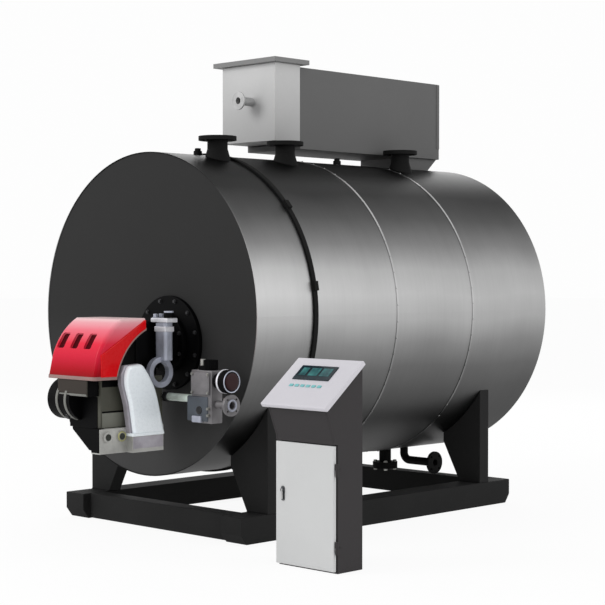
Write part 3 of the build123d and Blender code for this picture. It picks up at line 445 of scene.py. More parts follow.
@dataclass(frozen=True)
class Moulding(Finish):
    """Glossy moulded plastic, with a faint ripple and hazed patches, and where given painted
    light and shade by height.
    """

    colour: Levels = 188
    roughness: float = 0.22
    variation: float = 0.06
    coat: float = 0.5
    haze: float = 0.06
    specular: float = 0.3
    # Painted light by height: each stop's height and levels, from painted shade at the foot to a
    # painted highlight at the top.
    painted_light: tuple[tuple[float, Triple], ...] = ()

    def make(self) -> bpy.types.Material:
        """Builds the material's nodes."""
        sheet = NodeSheet(self.name)
        cloud = sheet.noise(6.0, detail=3)
        haze = sheet.noise(55.0, detail=6, roughness=0.7)
        tone = sheet.mottled(cloud, shade(self.colour), self.variation)
        # Painted highlight and painted shade by height, over most of the colour.
        if self.painted_light:
            tone = sheet.blend(0.85, tone, sheet.wash(sheet.height(), self.painted_light))
        tone = sheet.blend(sheet.span(haze, (0.5, 0.8), (0.0, self.haze)), tone,
                           shade((205, 200, 198)))
        rough = sheet.span(haze, (0.3, 0.8), (self.roughness - 0.05, self.roughness + 0.14))
        ripple = sheet.bump(cloud, 0.0012, 0.3, sheet.bump(haze, 0.00008, 0.5))
        return sheet.finish(tone, rough, ripple, 0.0, self.coat, 0.08, self.specular)


@dataclass(frozen=True)
class ScreenGlass(Finish):
    """A dark display behind glass, with a faint glow that drifts between two colours."""

    dark: Levels = 20
    lit: Levels = 40
    glow: float = 0.25

    def make(self) -> bpy.types.Material:
        """Builds the material's nodes."""
        sheet = NodeSheet(self.name)
        smear = sheet.noise(60.0, detail=5)
        tone = sheet.ramp(sheet.noise(14.0), ((0.3, shade(self.dark)), (0.7, shade(self.lit))))
        sheet.feed(sheet.paint.node.inputs["Emission Color"], tone)
        sheet.feed(sheet.paint.node.inputs["Emission Strength"], self.glow)
        rough = sheet.span(smear, (0.3, 0.8), (0.06, 0.2))
        return sheet.finish(tone, rough, sheet.bump(smear, 0.00003, 0.3), 0.0, 0.1, 0.05, 0.2)


@dataclass(frozen=True)
class PaleFloor(Finish):
    """A plain pale floor that keeps soft shadows and is white to the camera and to metal."""

    colour: tuple = (0.9, 0.9, 0.9, 1.0)
    lift: float = 0.92

    def make(self) -> bpy.types.Material:
        """Builds the material's nodes."""
        sheet = NodeSheet(self.name)
        cloud = sheet.noise(0.8, detail=3)
        tone = sheet.ramp(cloud, ((0.3, dimmed(self.colour, 0.985)), (0.7, self.colour)))
        white = sheet.add("ShaderNodeEmission", {"Color": (1, 1, 1, 1)})["Emission"]
        share = sheet.span(sheet.seen(), (0.0, 1.0), (0.0, self.lift))
        return sheet.finish(tone, 0.9, surface=sheet.mixed(share, sheet.paint, white))


@dataclass(frozen=True)
class Room:
    """The space that a CAD node takes at rest."""

    low: Vector
    high: Vector

    @classmethod
    def of(cls, node: str) -> "Room":
        """Returns the room of a CAD node."""
        return cls(*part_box(node))

    @property
    def centre(self) -> Vector:
        """The middle of the room."""
        return (self.low + self.high) / 2

    @property
    def size(self) -> Vector:
        """The room's width, depth and height."""
        return self.high - self.low


class Piece:
    """A mesh in the making, shaped with modelling operators."""

    WELD_GAP = 0.00002
    FLAT_ANGLE = math.radians(0.4)
    SMOOTH_ANGLE = math.radians(40.0)
    FACE_WEIGHT = 60
    HOOP_SIDES = 10

    def __init__(self, thing: bpy.types.Object) -> None:
        """Wraps the object that holds the mesh."""
        self.thing = thing

    @staticmethod
    def clear() -> None:
        """Leaves edit mode and deselects everything."""
        if bpy.context.object is not None and bpy.context.object.mode != "OBJECT":
            bpy.ops.object.mode_set(mode="OBJECT")
        bpy.ops.object.select_all(action="DESELECT")

    @classmethod
    def added(cls, name: str) -> "Piece":
        """Names the primitive that was just added, and puts its place in its mesh."""
        thing = bpy.context.active_object
        thing.name = thing.data.name = name
        bpy.ops.object.transform_apply(location=True, rotation=True, scale=True)
        return cls(thing)

    @classmethod
    def block(cls, name: str, low: Place, high: Place) -> "Piece":
        """Adds a box between two corners."""
        cls.clear()
        middle = [(a + b) / 2 for a, b in zip(low, high)]
        bpy.ops.mesh.primitive_cube_add(size=1, location=middle)
        bpy.context.active_object.scale = [b - a for a, b in zip(low, high)]
        return cls.added(name)

    @classmethod
    def rod(cls, name: str, axis: Axis, centre: Place, radius: float, length: float,
            sides: int = 48) -> "Piece":
        """Adds a round or many-sided rod.

        Args:
            name: The piece's name.
            axis: The direction it runs along.
            centre: Its middle.
            radius: Its radius.
            length: Its length.
            sides: How many flat sides it has.

        Returns:
            The rod.
        """
        cls.clear()
        bpy.ops.mesh.primitive_cylinder_add(vertices=sides, radius=radius, depth=length,
                                            location=centre, rotation=axis.turn)
        return cls.added(name)

    @classmethod
    def hoop(cls, name: str, axis: Axis, centre: Place, radius: float, thickness: float,
             segments: int = 64) -> "Piece":
        """Adds a round ring of round section."""
        cls.clear()
        bpy.ops.mesh.primitive_torus_add(
            major_radius=radius, minor_radius=thickness, major_segments=segments,
            minor_segments=cls.HOOP_SIDES, location=centre, rotation=axis.turn)
        return cls.added(name)

    @classmethod
    def linked(cls, name: str, mesh: bpy.types.Mesh) -> "Piece":
        """Puts a copy of a mesh in the scene."""
        thing = bpy.data.objects.new(name, mesh.copy())
        thing.data.name = name
        bpy.context.scene.collection.objects.link(thing)
        return cls(thing)

    @classmethod
    def of_node(cls, name: str, node: str) -> "Piece":
        """Copies a CAD node's shape, with its loose triangles merged into whole faces."""
        cls.clear()
        piece = cls.linked(name, frame["nodes"][node].data).whole()
        bpy.ops.mesh.remove_doubles(threshold=cls.WELD_GAP)
        bpy.ops.mesh.customdata_custom_splitnormals_clear()
        bpy.ops.mesh.dissolve_limited(angle_limit=cls.FLAT_ANGLE)
        cls.clear()
        return piece

    def hold(self) -> None:
        """Makes this the one selected and active object."""
        self.clear()
        self.thing.select_set(True)
        bpy.context.view_layer.objects.active = self.thing

    def edit(self, kind: str = "FACE") -> bmesh.types.BMesh:
        """Opens the mesh in edit mode with nothing selected.

        Args:
            kind: What is selected there, VERT, EDGE or FACE.

        Returns:
            The open mesh.
        """
        self.hold()
        bpy.ops.object.mode_set(mode="EDIT")
        bpy.ops.mesh.select_mode(type=kind)
        bpy.ops.mesh.select_all(action="DESELECT")
        return bmesh.from_edit_mesh(self.thing.data)

    def whole(self) -> "Piece":
        """Selects the whole mesh in edit mode."""
        self.edit()
        bpy.ops.mesh.select_all(action="SELECT")
        return self

    def choose(self, kind: str, test: Callable[[object], object]) -> "Piece":
        """Selects the faces or the edges that pass a test."""
        mesh = self.edit(kind)
        for part in mesh.faces if kind == "FACE" else mesh.edges:
            part.select_set(bool(test(part)))
        mesh.select_flush_mode()
        bmesh.update_edit_mesh(self.thing.data)
        return self

    def faces(self, test: Test) -> "Piece":
        """Selects the faces whose centre and normal pass a test."""
        return self.choose("FACE", lambda face: test(face.calc_center_median(), face.normal))

    def edges(self, test: Test) -> "Piece":
        """Selects the edges whose middle and direction pass a test."""
        def passes(edge: bmesh.types.BMEdge) -> bool:
            """Puts the test to one edge."""
            start, end = (corner.co for corner in edge.verts)
            return test((start + end) / 2, (end - start).normalized())
        return self.choose("EDGE", passes)

    def inset(self, thickness: float, depth: float = 0.0) -> "Piece":
        """Insets the selected faces, and sinks or raises them by a depth."""
        bpy.ops.mesh.inset(thickness=thickness, depth=depth, use_even_offset=True)
        return self

    def dish(self, way: Vector, thickness: float, depth: float) -> "Piece":
        """Insets the faces that look one way, and sinks or raises them by a depth."""
        return self.faces(lambda at, normal: normal.dot(way) > ALONG).inset(thickness, depth)

    def bevel(self, width: float, segments: int = 4) -> "Piece":
        """Rounds the selected edges."""
        bpy.ops.mesh.bevel(offset=width, segments=segments, profile=0.5, affect="EDGES")
        return self

    def trim(self, point: Place, normal: Place) -> "Piece":
        """Cuts off what lies beyond a plane, and closes the cut."""
        self.whole()
        bpy.ops.mesh.bisect(plane_co=tuple(point), plane_no=tuple(normal), use_fill=True,
                            clear_outer=True)
        self.clear()
        return self

    def modify(self, kind: str, **settings: object) -> "Piece":
        """Adds a modifier of one kind, gives it its settings and applies it."""
        self.hold()
        modifier = self.thing.modifiers.new(kind.title(), kind)
        for key, value in settings.items():
            setattr(modifier, key, value)
        bpy.ops.object.modifier_apply(modifier=modifier.name)
        return self

    def cut_by(self, tool: "Piece") -> "Piece":
        """Cuts another piece, which is used up, out of this one."""
        self.modify("BOOLEAN", object=tool.thing, operation="DIFFERENCE", solver="EXACT")
        bpy.data.objects.remove(tool.thing)
        return self

    def rounded(self, width: float, segments: int = 2, angle: float = 35.0) -> "Piece":
        """Rounds every edge sharper than an angle, in degrees."""
        return self.modify("BEVEL", width=width, segments=segments, limit_method="ANGLE",
                           angle_limit=math.radians(angle), use_clamp_overlap=True)

    def moved(self, matrix: Matrix) -> "Piece":
        """Moves or turns the piece, and keeps the new place in its mesh."""
        self.hold()
        self.thing.matrix_world = matrix @ self.thing.matrix_world
        bpy.ops.object.transform_apply(location=True, rotation=True, scale=True)
        return self

    def copied(self, name: str, matrix: Matrix) -> "Piece":
        """Returns a copy with its own mesh, moved by a matrix."""
        return self.linked(name, self.thing.data).moved(matrix)

    @staticmethod
    def merged(pieces: Sequence["Piece"]) -> "Piece":
        """Joins pieces into the first of them."""
        pieces[0].hold()
        for other in pieces[1:]:
            other.thing.select_set(True)
        bpy.context.view_layer.objects.active = pieces[0].thing
        bpy.ops.object.join()
        return pieces[0]

    def spread(self, matrices: Sequence[Matrix]) -> "Piece":
        """Turns the piece into copies of itself, one for each matrix, joined as one."""
        name = self.thing.name
        copies = [self.copied(f"{name}_{index}", matrix) for index, matrix in enumerate(matrices)]
        bpy.data.objects.remove(self.thing)
        first = self.merged(copies)
        first.thing.name = name
        return first

    def fit(self, finish: Finish, slot: Slot | None = None, body: Body = Body.PLANT,
            replaced: Sequence[str] = ()) -> None:
        """Turns the faces outwards, shades them, and gives the piece its material and body.

        Args:
            finish: The finish it gets.
            slot: Its slot in the record, where that isn't the finish's own; it is not used.
            body: The body that it moves with.
            replaced: The CAD nodes that it stands for.
        """
        self.whole()
        bpy.ops.mesh.normals_make_consistent(inside=False)
        self.hold()
        bpy.ops.object.shade_smooth_by_angle(angle=self.SMOOTH_ANGLE)
        self.modify("WEIGHTED_NORMAL", keep_sharp=True, weight=self.FACE_WEIGHT)
        self.thing.data.materials.clear()
        self.thing.data.materials.append(finish.build())
        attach(self.thing, body.value)
        if replaced:
            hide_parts(*replaced)
        LOG.info("%s: %d faces on %s", self.thing.name, len(self.thing.data.polygons), body.value)


def about(axis: Axis, point: Place, angle: float) -> Matrix:
    """Returns a turn by an angle, in degrees, about an axis through a point."""
    there = Matrix.Translation(Vector(point))
    return there @ Matrix.Rotation(math.radians(angle), 4, axis.name) @ there.inverted()


def shift(x: float, y: float, z: float) -> Matrix:
    """Returns a plain move."""
    return Matrix.Translation((x, y, z))


def circle_through(*points: tuple[float, float]) -> tuple[Vector, float]:
    """Returns the centre and radius of the circle through three flat points."""
    first, middle, last = (Vector(point) for point in points)
    chord, side = middle - first, last - first
    twice = 2 * (chord.x * side.y - chord.y * side.x)
    centre = first + Vector((
        side.y * chord.length_squared - chord.y * side.length_squared,
        chord.x * side.length_squared - side.x * chord.length_squared)) / twice
    return centre, (centre - first).length


class Palette:
    """The plant's finishes."""

    # Levels by height: a painted highlight band a little above the shell's middle, and painted
    # shade towards its top and its underside.
    CLADDING = BrushedSheet(
        "brushed_cladding", Slot.CLADDING, 0.42,
        ((0.36, 18), (0.46, 40), (0.56, 62), (0.72, 78), (0.88, 90), (1.04, 108), (1.2, 139),
         (1.36, 174), (1.53, 185), (1.7, 172), (1.87, 130), (2.04, 88), (2.2, 44), (2.36, 30),
         (2.46, 26)))
    # Levels by height: painted highlights on the strips' middle and upper parts, and painted
    # shade towards their foot and top.
    SEAM = BrushedSheet(
        "seam_strip_steel", Slot.SEAM, 0.34,
        ((0.36, 60), (0.56, 90), (0.7, 118), (0.9, 122), (1.04, 124), (1.2, 146), (1.36, 180),
         (1.53, 196), (1.7, 182), (1.87, 170), (2.04, 188), (2.2, 184), (2.36, 140), (2.46, 90)))
    # Painted light: the colour is brighter from the middle down to the foot, so that the plate's
    # lower part, where shade falls, is painted lighter.
    END_PLATE = PaintedSteel("end_plate_paint", Slot.END_PLATE, 64, 0.65, 0.06, specular=0.06,
                             painted_shade=(0.5, 1.4, 190))
    BLACK = PaintedSteel("black_enamel", Slot.BLACK, 26, 0.65, 0.16, specular=0.04)
    SKID = PaintedSteel("skid_black_paint", Slot.BLACK, 40, 0.65, 0.16, specular=0.04)
    FLANGE = PaintedSteel("flange_paint", Slot.OUTLET, 126, 0.55, 0.06)
    DUCT = PaintedSteel("duct_paint", Slot.DUCT, 98, 0.6, 0.05, 0.0001)
    # Painted shade: the colour darkens towards the bottom of the outlet box.
    OUTLET = PaintedSteel("outlet_paint", Slot.OUTLET, 198, 0.5, 0.05, painted_shade=(3.1, 2.55, 212))
    STUB = BareMetal("stub_steel_turned", Slot.STUB, 184, 0.45, 260, 0.0001, metallic=0.4)
    BURNER = PaintedSteel("burner_black_paint", Slot.BURNER_BLACK, (5, 5, 6), 0.55, 0.25, 0.0003,
                          0.05)
    CASING = PaintedSteel("casing_warm_grey", Slot.CASING, (72, 72, 64), 0.45, 0.14)
    FRONT_BAND = PaintedSteel("front_band_warm_grey", Slot.CASING, (54, 49, 45), 0.5,
                              specular=0.1)
    CASING_FOOT = PaintedSteel("casing_foot_grey", Slot.CASING, (114, 115, 107), 0.45)
    CONTROL = BareMetal("control_box_grey", Slot.CASING, (178, 178, 174), 0.42, 90, 0.0001, 0.3,
                        0.3)
    # Its colour climbs with the height from painted shade at the hood's foot to a pale painted
    # highlight at its crown.
    HOOD = Moulding("hood_red_moulding", Slot.HOOD, (190, 4, 20), 0.3, coat=0.05, haze=0.0,
                    specular=0.06,
                    painted_light=((1.04, (104, 0, 8)), (1.09, (156, 0, 20)), (1.17, (198, 32, 58)),
                           (1.25, (220, 44, 68)), (1.33, (230, 118, 134)),
                           (1.375, (234, 172, 180)), (1.4, (238, 218, 218))))
    # A lighter red that paints the highlight on the raised band along the hood's side.
    HOOD_SIDE_HIGHLIGHT = Moulding("hood_side_moulding", Slot.HOOD, (206, 0, 10), 0.26, coat=0.15,
                         haze=0.0, specular=0.1)
    HOOD_LIP = Moulding("hood_lip_moulding", Slot.HOOD, (140, 112, 108), 0.35, coat=0.1)
    # Dark red that paints the shade inside the hood's slots.
    SLOT_SHADE = PaintedSteel("hood_slot_dark", Slot.HOOD, (70, 0, 8), 0.7, 0.3, specular=0.05)
    COVER = Moulding("cover_pale_moulding", Slot.COVER, (243, 250, 255), 0.26, 0.01, 0.8, 0.0,
                     0.5)
    COVER_BASE = BareMetal("cover_base_grey", Slot.COVER, (170, 166, 174), 0.4, depth=0.0001,
                           metallic=0.3)
    CAST = BareMetal("sand_cast_aluminium", Slot.CAST, (176, 180, 194), 0.45, 150, 0.0006,
                     metallic=0.35)
    BRIGHT = BareMetal("bright_cast_plate", Slot.CAST, (228, 228, 234), 0.4, 200, 0.0002,
                       metallic=0.25)
    PIPE = BareMetal("galvanised_pipe", Slot.PIPE, (232, 244, 234), 0.32, 70, 0.0002,
                     metallic=0.4)
    VALVE = BareMetal("valve_cast_body", Slot.VALVE, (118, 116, 118), 0.5, 180, 0.0005,
                      metallic=0.35)
    VALVE_DARK = BareMetal("valve_lower_body", Slot.VALVE, (78, 84, 92), 0.5, 180, 0.0005,
                           metallic=0.35)
    MAROON = PaintedSteel("switch_dial_maroon", Slot.VALVE, (40, 12, 16), 0.4, 0.2)
    BRASS = BareMetal("brass_socket_ring", Slot.CASING, (172, 170, 122))
    SOCKET = PaintedSteel("socket_dark", Slot.CASING, (48, 50, 46), 0.5, 0.2)
    BOLT = BareMetal("zinc_bolt", Slot.VALVE, (160, 160, 156), 0.38, 400, 0.00008, 0.4)
    DARK_BOLT = BareMetal("blackened_bolt", Slot.BURNER_BLACK, (40, 40, 42), 0.45, 400, 0.00008,
                          0.4, 0.4)
    BAND_STEEL = PaintedSteel("clamp_band_grey", Slot.BURNER_BLACK, (112, 112, 108), 0.5, 0.15)
    CONSOLE = PaintedSteel("console_powder_coat", Slot.CONSOLE, (56, 54, 55), 0.6, 0.06, 0.0002,
                           0.12)
    DOOR = PaintedSteel("door_powder_coat", Slot.DOOR, (199, 200, 200), 0.5, 0.025, 0.00015)
    DESK = PaintedSteel("desk_powder_coat", Slot.DESK, (203, 201, 207), 0.45, 0.03, 0.00015)
    SCREEN = ScreenGlass("screen_dark_glass", Slot.SCREEN, (4, 20, 28), (10, 36, 46), 0.05)
    PANE = ScreenGlass("screen_lit_pane", Slot.SCREEN, (10, 44, 54), (58, 122, 120), 0.08)
    KEYS = Moulding("membrane_key_teal", Slot.KEYS, (118, 184, 186), 0.45, coat=0.1)
    HANDLE = BareMetal("latch_dark_plate", Slot.HANDLE, (96, 98, 100), 0.3, 300, 0.00008)
    FLOOR = PaleFloor("pale_floor")


@dataclass(frozen=True)
class HexBolt:
    """A hexagon bolt head on a washer, standing on Z = 0."""

    radius: float = 0.014
    height: float = 0.010
    washer: float = 0.0025
    rim: float = 1.25
    chamfer: float = 0.14

    def model(self, name: str) -> Piece:
        """Returns one bolt head."""
        head = Piece.rod(name, Axis.Z, (0, 0, self.washer + self.height / 2), self.radius,
                         self.height, 6)
        head.edges(lambda at, along: at.z > self.washer + self.height - HAIR)
        head.bevel(self.radius * self.chamfer, 1)
        disc = Piece.rod(f"{name}_washer", Axis.Z, (0, 0, self.washer / 2),
                         self.radius * self.rim, self.washer, 16)
        return Piece.merged([head, disc])

    def row(self, name: str, places: Iterable[Place], direction: Triple,
            spots: Sequence[Matrix] = (Matrix(),)) -> Piece:
        """Spreads bolt heads over given places.

        Args:
            name: The piece's name.
            places: Where the heads sit.
            direction: The way that the heads point.
            spots: Moves of the head within its face, each made at every place.

        Returns:
            All the bolts as one piece.
        """
        turn = Vector((0, 0, 1)).rotation_difference(Vector(direction)).to_matrix().to_4x4()
        return self.model(name).spread([Matrix.Translation(Vector(place)) @ turn @ spot
                                        for place in places for spot in spots])

    def circle(self, name: str, centre: Place, direction: Triple, radius: float,
               count: int, start: float) -> Piece:
        """Spreads bolt heads round a circle.

        Args:
            name: The piece's name.
            centre: The circle's centre, on the face that the heads sit on.
            direction: The way that the heads point.
            radius: The circle's radius.
            count: How many bolts there are.
            start: The first bolt's angle in degrees.

        Returns:
            All the bolts as one piece.
        """
        angles = [math.radians(start + 360 * index / count) for index in range(count)]
        return self.row(name, [centre], direction,
                        [shift(radius * math.cos(angle), radius * math.sin(angle), 0)
                         for angle in angles])


class SubAssembly:
    """A group of pieces that are modelled and dressed together."""

    def build(self) -> None:
        """Models and dresses every piece."""
        raise NotImplementedError

    @staticmethod
    def dress(finish: Finish, *nodes: str) -> None:
        """Gives CAD nodes that keep their shape their finish."""
        for node in nodes:
            for place in frame["nodes"][node].material_slots:
                place.material = finish.build()
            LOG.info("%s: CAD shape with %s", node, finish.name)

    @staticmethod
    def soften(finish: Finish, edge: Edge, *nodes: str, slot: Slot | None = None) -> None:
        """Stands copies of CAD nodes with rounded edges in the nodes' places.

        Args:
            finish: The copies' finish.
            edge: The width of their rounded edges, and the facets where there aren't two.
            nodes: The CAD nodes.
            slot: The copies' slot in the record, where that isn't the finish's own.
        """
        for node in nodes:
            piece = Piece.of_node(f"{node}_rounded", node).rounded(*edge)
            piece.fit(finish, slot, replaced=[node])

    @staticmethod
    def panel(name: str, low: Place, high: Place, finish: Finish, edge: Edge = (0.0015, 1),
              slot: Slot | None = None, body: Body = Body.PLANT) -> None:
        """Adds a flat piece between two corners, with rounded edges.

        Args:
            name: The piece's name.
            low: Its lower corner.
            high: Its upper corner.
            finish: Its finish.
            edge: The width and facets of its rounded edges.
            slot: Its slot in the record, where that isn't the finish's own.
            body: The body that it moves with.
        """
        Piece.block(name, low, high).rounded(*edge).fit(finish, slot, body)

    @staticmethod
    def disc(name: str, axis: Axis, centre: Place, size: tuple[float, float, int],
             finish: Finish, edge: Edge, slot: Slot | None = None,
             dish: tuple[float, float] | None = None) -> None:
        """Adds a round piece with rounded edges, plain or with its face sunk or raised.

        Args:
            name: The piece's name.
            axis: The direction it runs along.
            centre: Its middle.
            size: Its radius, its length and the number of its sides.
            finish: Its finish.
            edge: The width and facets of its rounded edges, and their least angle.
            slot: Its slot in the record, where that isn't the finish's own.
            dish: How far its face is inset, and how far it is sunk or raised.
        """
        piece = Piece.rod(name, axis, centre, *size)
        if dish:
            piece.dish(axis.face, *dish)
        piece.rounded(*edge).fit(finish, slot)


@dataclass
class Shell(SubAssembly):
    """The clad shell, its end plates, bands and small sockets."""

    screws: int = 60
    screw_radius: float = 0.006
    screw_sink: float = 0.0005
    riser_gap: float = 0.03
    lug_angles: tuple[float, ...] = (49.0, 80.0, -49.0, -80.0)
    lug_height: float = 0.013
    bolt: HexBolt = HexBolt(0.011, 0.008)
    plug: HexBolt = HexBolt(0.021, 0.018)
    wall: Room = field(default_factory=lambda: Room.of("shell_jacket"))

    def build(self) -> None:
        """Models and dresses every piece."""
        seams, sockets = ("middle_seam", "rear_seam"), ("socket_front", "socket_rear")
        self.dress(Palette.CLADDING, "shell_jacket")
        self.dress(Palette.END_PLATE, "front_plate", "rear_plate")
        self.dress(Palette.BLACK, "front_strap", *sockets)
        self.dress(Palette.SEAM, *seams)
        for seam in seams:
            self.seam_screws(seam)
        self.strap_bolts()
        for socket in sockets:
            room = Room.of(socket)
            self.plug.row(f"{socket}_plug", [(*room.centre[:2], room.high.z)],
                          (0, 0, 1)).fit(Palette.BLACK)

    def around(self, angle: float, y: float, radius: float) -> Matrix:
        """Returns the move to a spot on the shell, at an angle in degrees from its top."""
        axis = self.wall.centre
        return about(Axis.Y, (axis.x, 0, axis.z), angle) @ shift(axis.x, y, axis.z + radius)

    def seam_screws(self, seam: str) -> None:
        """Adds the row of domed screws that holds a seam strip.

        Args:
            seam: The strip's CAD node.
        """
        strip, riser, axis = Room.of(seam), Room.of("flue_riser"), self.wall.centre
        radius = axis.z - strip.low.z
        Piece.clear()
        bpy.ops.mesh.primitive_uv_sphere_add(segments=10, ring_count=6, radius=self.screw_radius)
        dome = Piece.added(f"{seam}_screws").trim((0, 0, 0), (0, 0, -1))
        spots = []
        for index in range(self.screws):
            spot = self.around(360 * (index + 0.5) / self.screws, strip.centre.y,
                               radius - self.screw_sink)
            place = spot.translation
            beside = riser.low.x - self.riser_gap < place.x < riser.high.x + self.riser_gap
            if not (beside and place.z > axis.z and seam == "rear_seam"):
                spots.append(spot)
        dome.spread(spots).fit(Palette.SEAM)

    def strap_bolts(self) -> None:
        """Adds a bolt head on each clamp lug of the front strap."""
        strap = Room.of("front_strap")
        height = strap.high.x - self.wall.centre.x - self.lug_height
        self.bolt.model("strap_bolts").spread([self.around(angle, strap.centre.y, height)
                                               for angle in self.lug_angles]).fit(Palette.BLACK)


@dataclass
class Skid(SubAssembly):
    """The rails, cross beams and saddle legs."""

    edge: float = 0.005
    bead: float = 0.007
    bead_end: float = 0.004

    def build(self) -> None:
        """Models and dresses every piece."""
        self.soften(Palette.SKID, (self.edge,), "skid_rail_left", "skid_rail_right",
                    "skid_beam_front", "skid_beam_rear")
        for end in ("front", "rear"):
            for side in ("left", "right"):
                leg = f"saddle_leg_{end}_{side}"
                self.soften(Palette.SKID, (self.edge,), leg)
                self.weld(leg, f"skid_rail_{side}")

    def weld(self, leg: str, rail: str) -> None:
        """Adds the weld beads between a leg's foot and its rail.

        Args:
            leg: The leg's CAD node.
            rail: The rail's CAD node.
        """
        foot, base = Room.of(leg), Room.of(rail)
        low = max(foot.low.x, base.low.x) + self.bead_end
        high = min(foot.high.x, base.high.x) - self.bead_end
        Piece.merged([Piece.rod(f"{leg}_weld", Axis.X, ((low + high) / 2, y, base.high.z),
                                self.bead, high - low, 10).rounded(0.002, 1)
                      for y in (foot.low.y, foot.high.y)]).fit(Palette.BLACK)


@dataclass
class Nozzles(SubAssembly):
    """The flanged nozzles on top, and the drain and blowdown underneath."""

    edge: float = 0.002
    neck: float = 0.067
    flare: float = 0.024
    flare_height: float = 0.085
    flare_gap: float = 0.0006
    bore_overlap: float = 0.004
    sink: float = 0.03
    drain_flange: float = 0.024
    drain_circle: float = 0.0725
    bolt: HexBolt = HexBolt(0.014, 0.011)

    def build(self) -> None:
        """Models and dresses every piece."""
        shell = Room.of("shell_jacket")
        for name in ("nozzle_front", "nozzle_middle", "nozzle_rear"):
            self.soften(Palette.BLACK, (self.edge,), name)
            spot = Room.of(name).centre
            across = spot.x - shell.centre.x
            rise = math.sqrt((shell.size.z / 2) ** 2 - across ** 2) - self.sink
            self.collar(name, (spot.x, spot.y, shell.centre.z + rise))
        self.soften(Palette.BLACK, (self.edge,), "drain_nozzle", "drain_cover", "blowdown_pipe")
        self.drain_bolts()

    def collar(self, name: str, foot: Place) -> None:
        """Adds the flared foot where a nozzle's neck meets the shell.

        Args:
            name: The nozzle's CAD node.
            foot: The middle of the flare's lower end.
        """
        middle = (foot[0], foot[1], foot[2] + self.flare_height / 2)
        Piece.clear()
        bpy.ops.mesh.primitive_cone_add(vertices=64, radius1=self.neck + self.flare,
                                        radius2=self.neck + self.flare_gap,
                                        depth=self.flare_height, location=middle)
        flare = Piece.added(f"{name}_flare")
        flare.cut_by(Piece.rod("bore", Axis.Z, middle, self.neck - self.bore_overlap,
                               self.flare_height * BEYOND, 64))
        flare.rounded(0.001, 1, 60).fit(Palette.BLACK)

    def drain_bolts(self) -> None:
        """Adds the bolts and nuts that hold the drain's blind flange."""
        cover, top = Room.of("drain_cover"), Room.of("drain_nozzle").low.z + self.drain_flange
        for name, height, way in (("drain_bolts", cover.low.z, -1.0), ("drain_nuts", top, 1.0)):
            bolts = self.bolt.circle(name, (*cover.centre[:2], height), (0, 0, way),
                                     self.drain_circle, 4, 45)
            bolts.fit(Palette.BOLT, Slot.BLACK)


@dataclass
class Economiser(SubAssembly):
    """The duct on top, its riser, the flue outlet and the stack flange."""

    edge: float = 0.004
    angle_width: float = 0.035
    angle_proud: float = 0.004
    angle_rise: float = 0.08
    weld: float = 0.006
    pipe_radius: float = 0.030

    def build(self) -> None:
        """Models and dresses every piece."""
        self.soften(Palette.DUCT, (self.edge,), "economiser_duct")
        self.soften(Palette.OUTLET, (self.edge,), "outlet_box")
        self.soften(Palette.FLANGE, (self.edge,), "stack_flange")
        self.soften(Palette.STUB, (0.003,), "sight_port")
        self.soften(Palette.DUCT, (self.edge,), "flue_riser")
        port = Room.of("sight_port").centre
        Piece.hoop("sight_port_weld", Axis.Y, (port.x, Room.of("outlet_box").low.y, port.z),
                   self.pipe_radius, self.weld).fit(Palette.OUTLET)
        self.corner_angles()

    def corner_angles(self) -> None:
        """Adds the pressed angles that close the duct's upright rear corners."""
        duct, proud = Room.of("economiser_duct"), self.angle_proud
        low, high = duct.low, duct.high
        for name, left, right in (("left", low.x - proud, low.x),
                                  ("right", high.x, high.x + proud)):
            self.panel(f"duct_corner_{name}",
                       (left, high.y - self.angle_width, low.z + self.angle_rise),
                       (right, high.y - 0.002, high.z - 0.004), Palette.DUCT, (0.0015, 2))


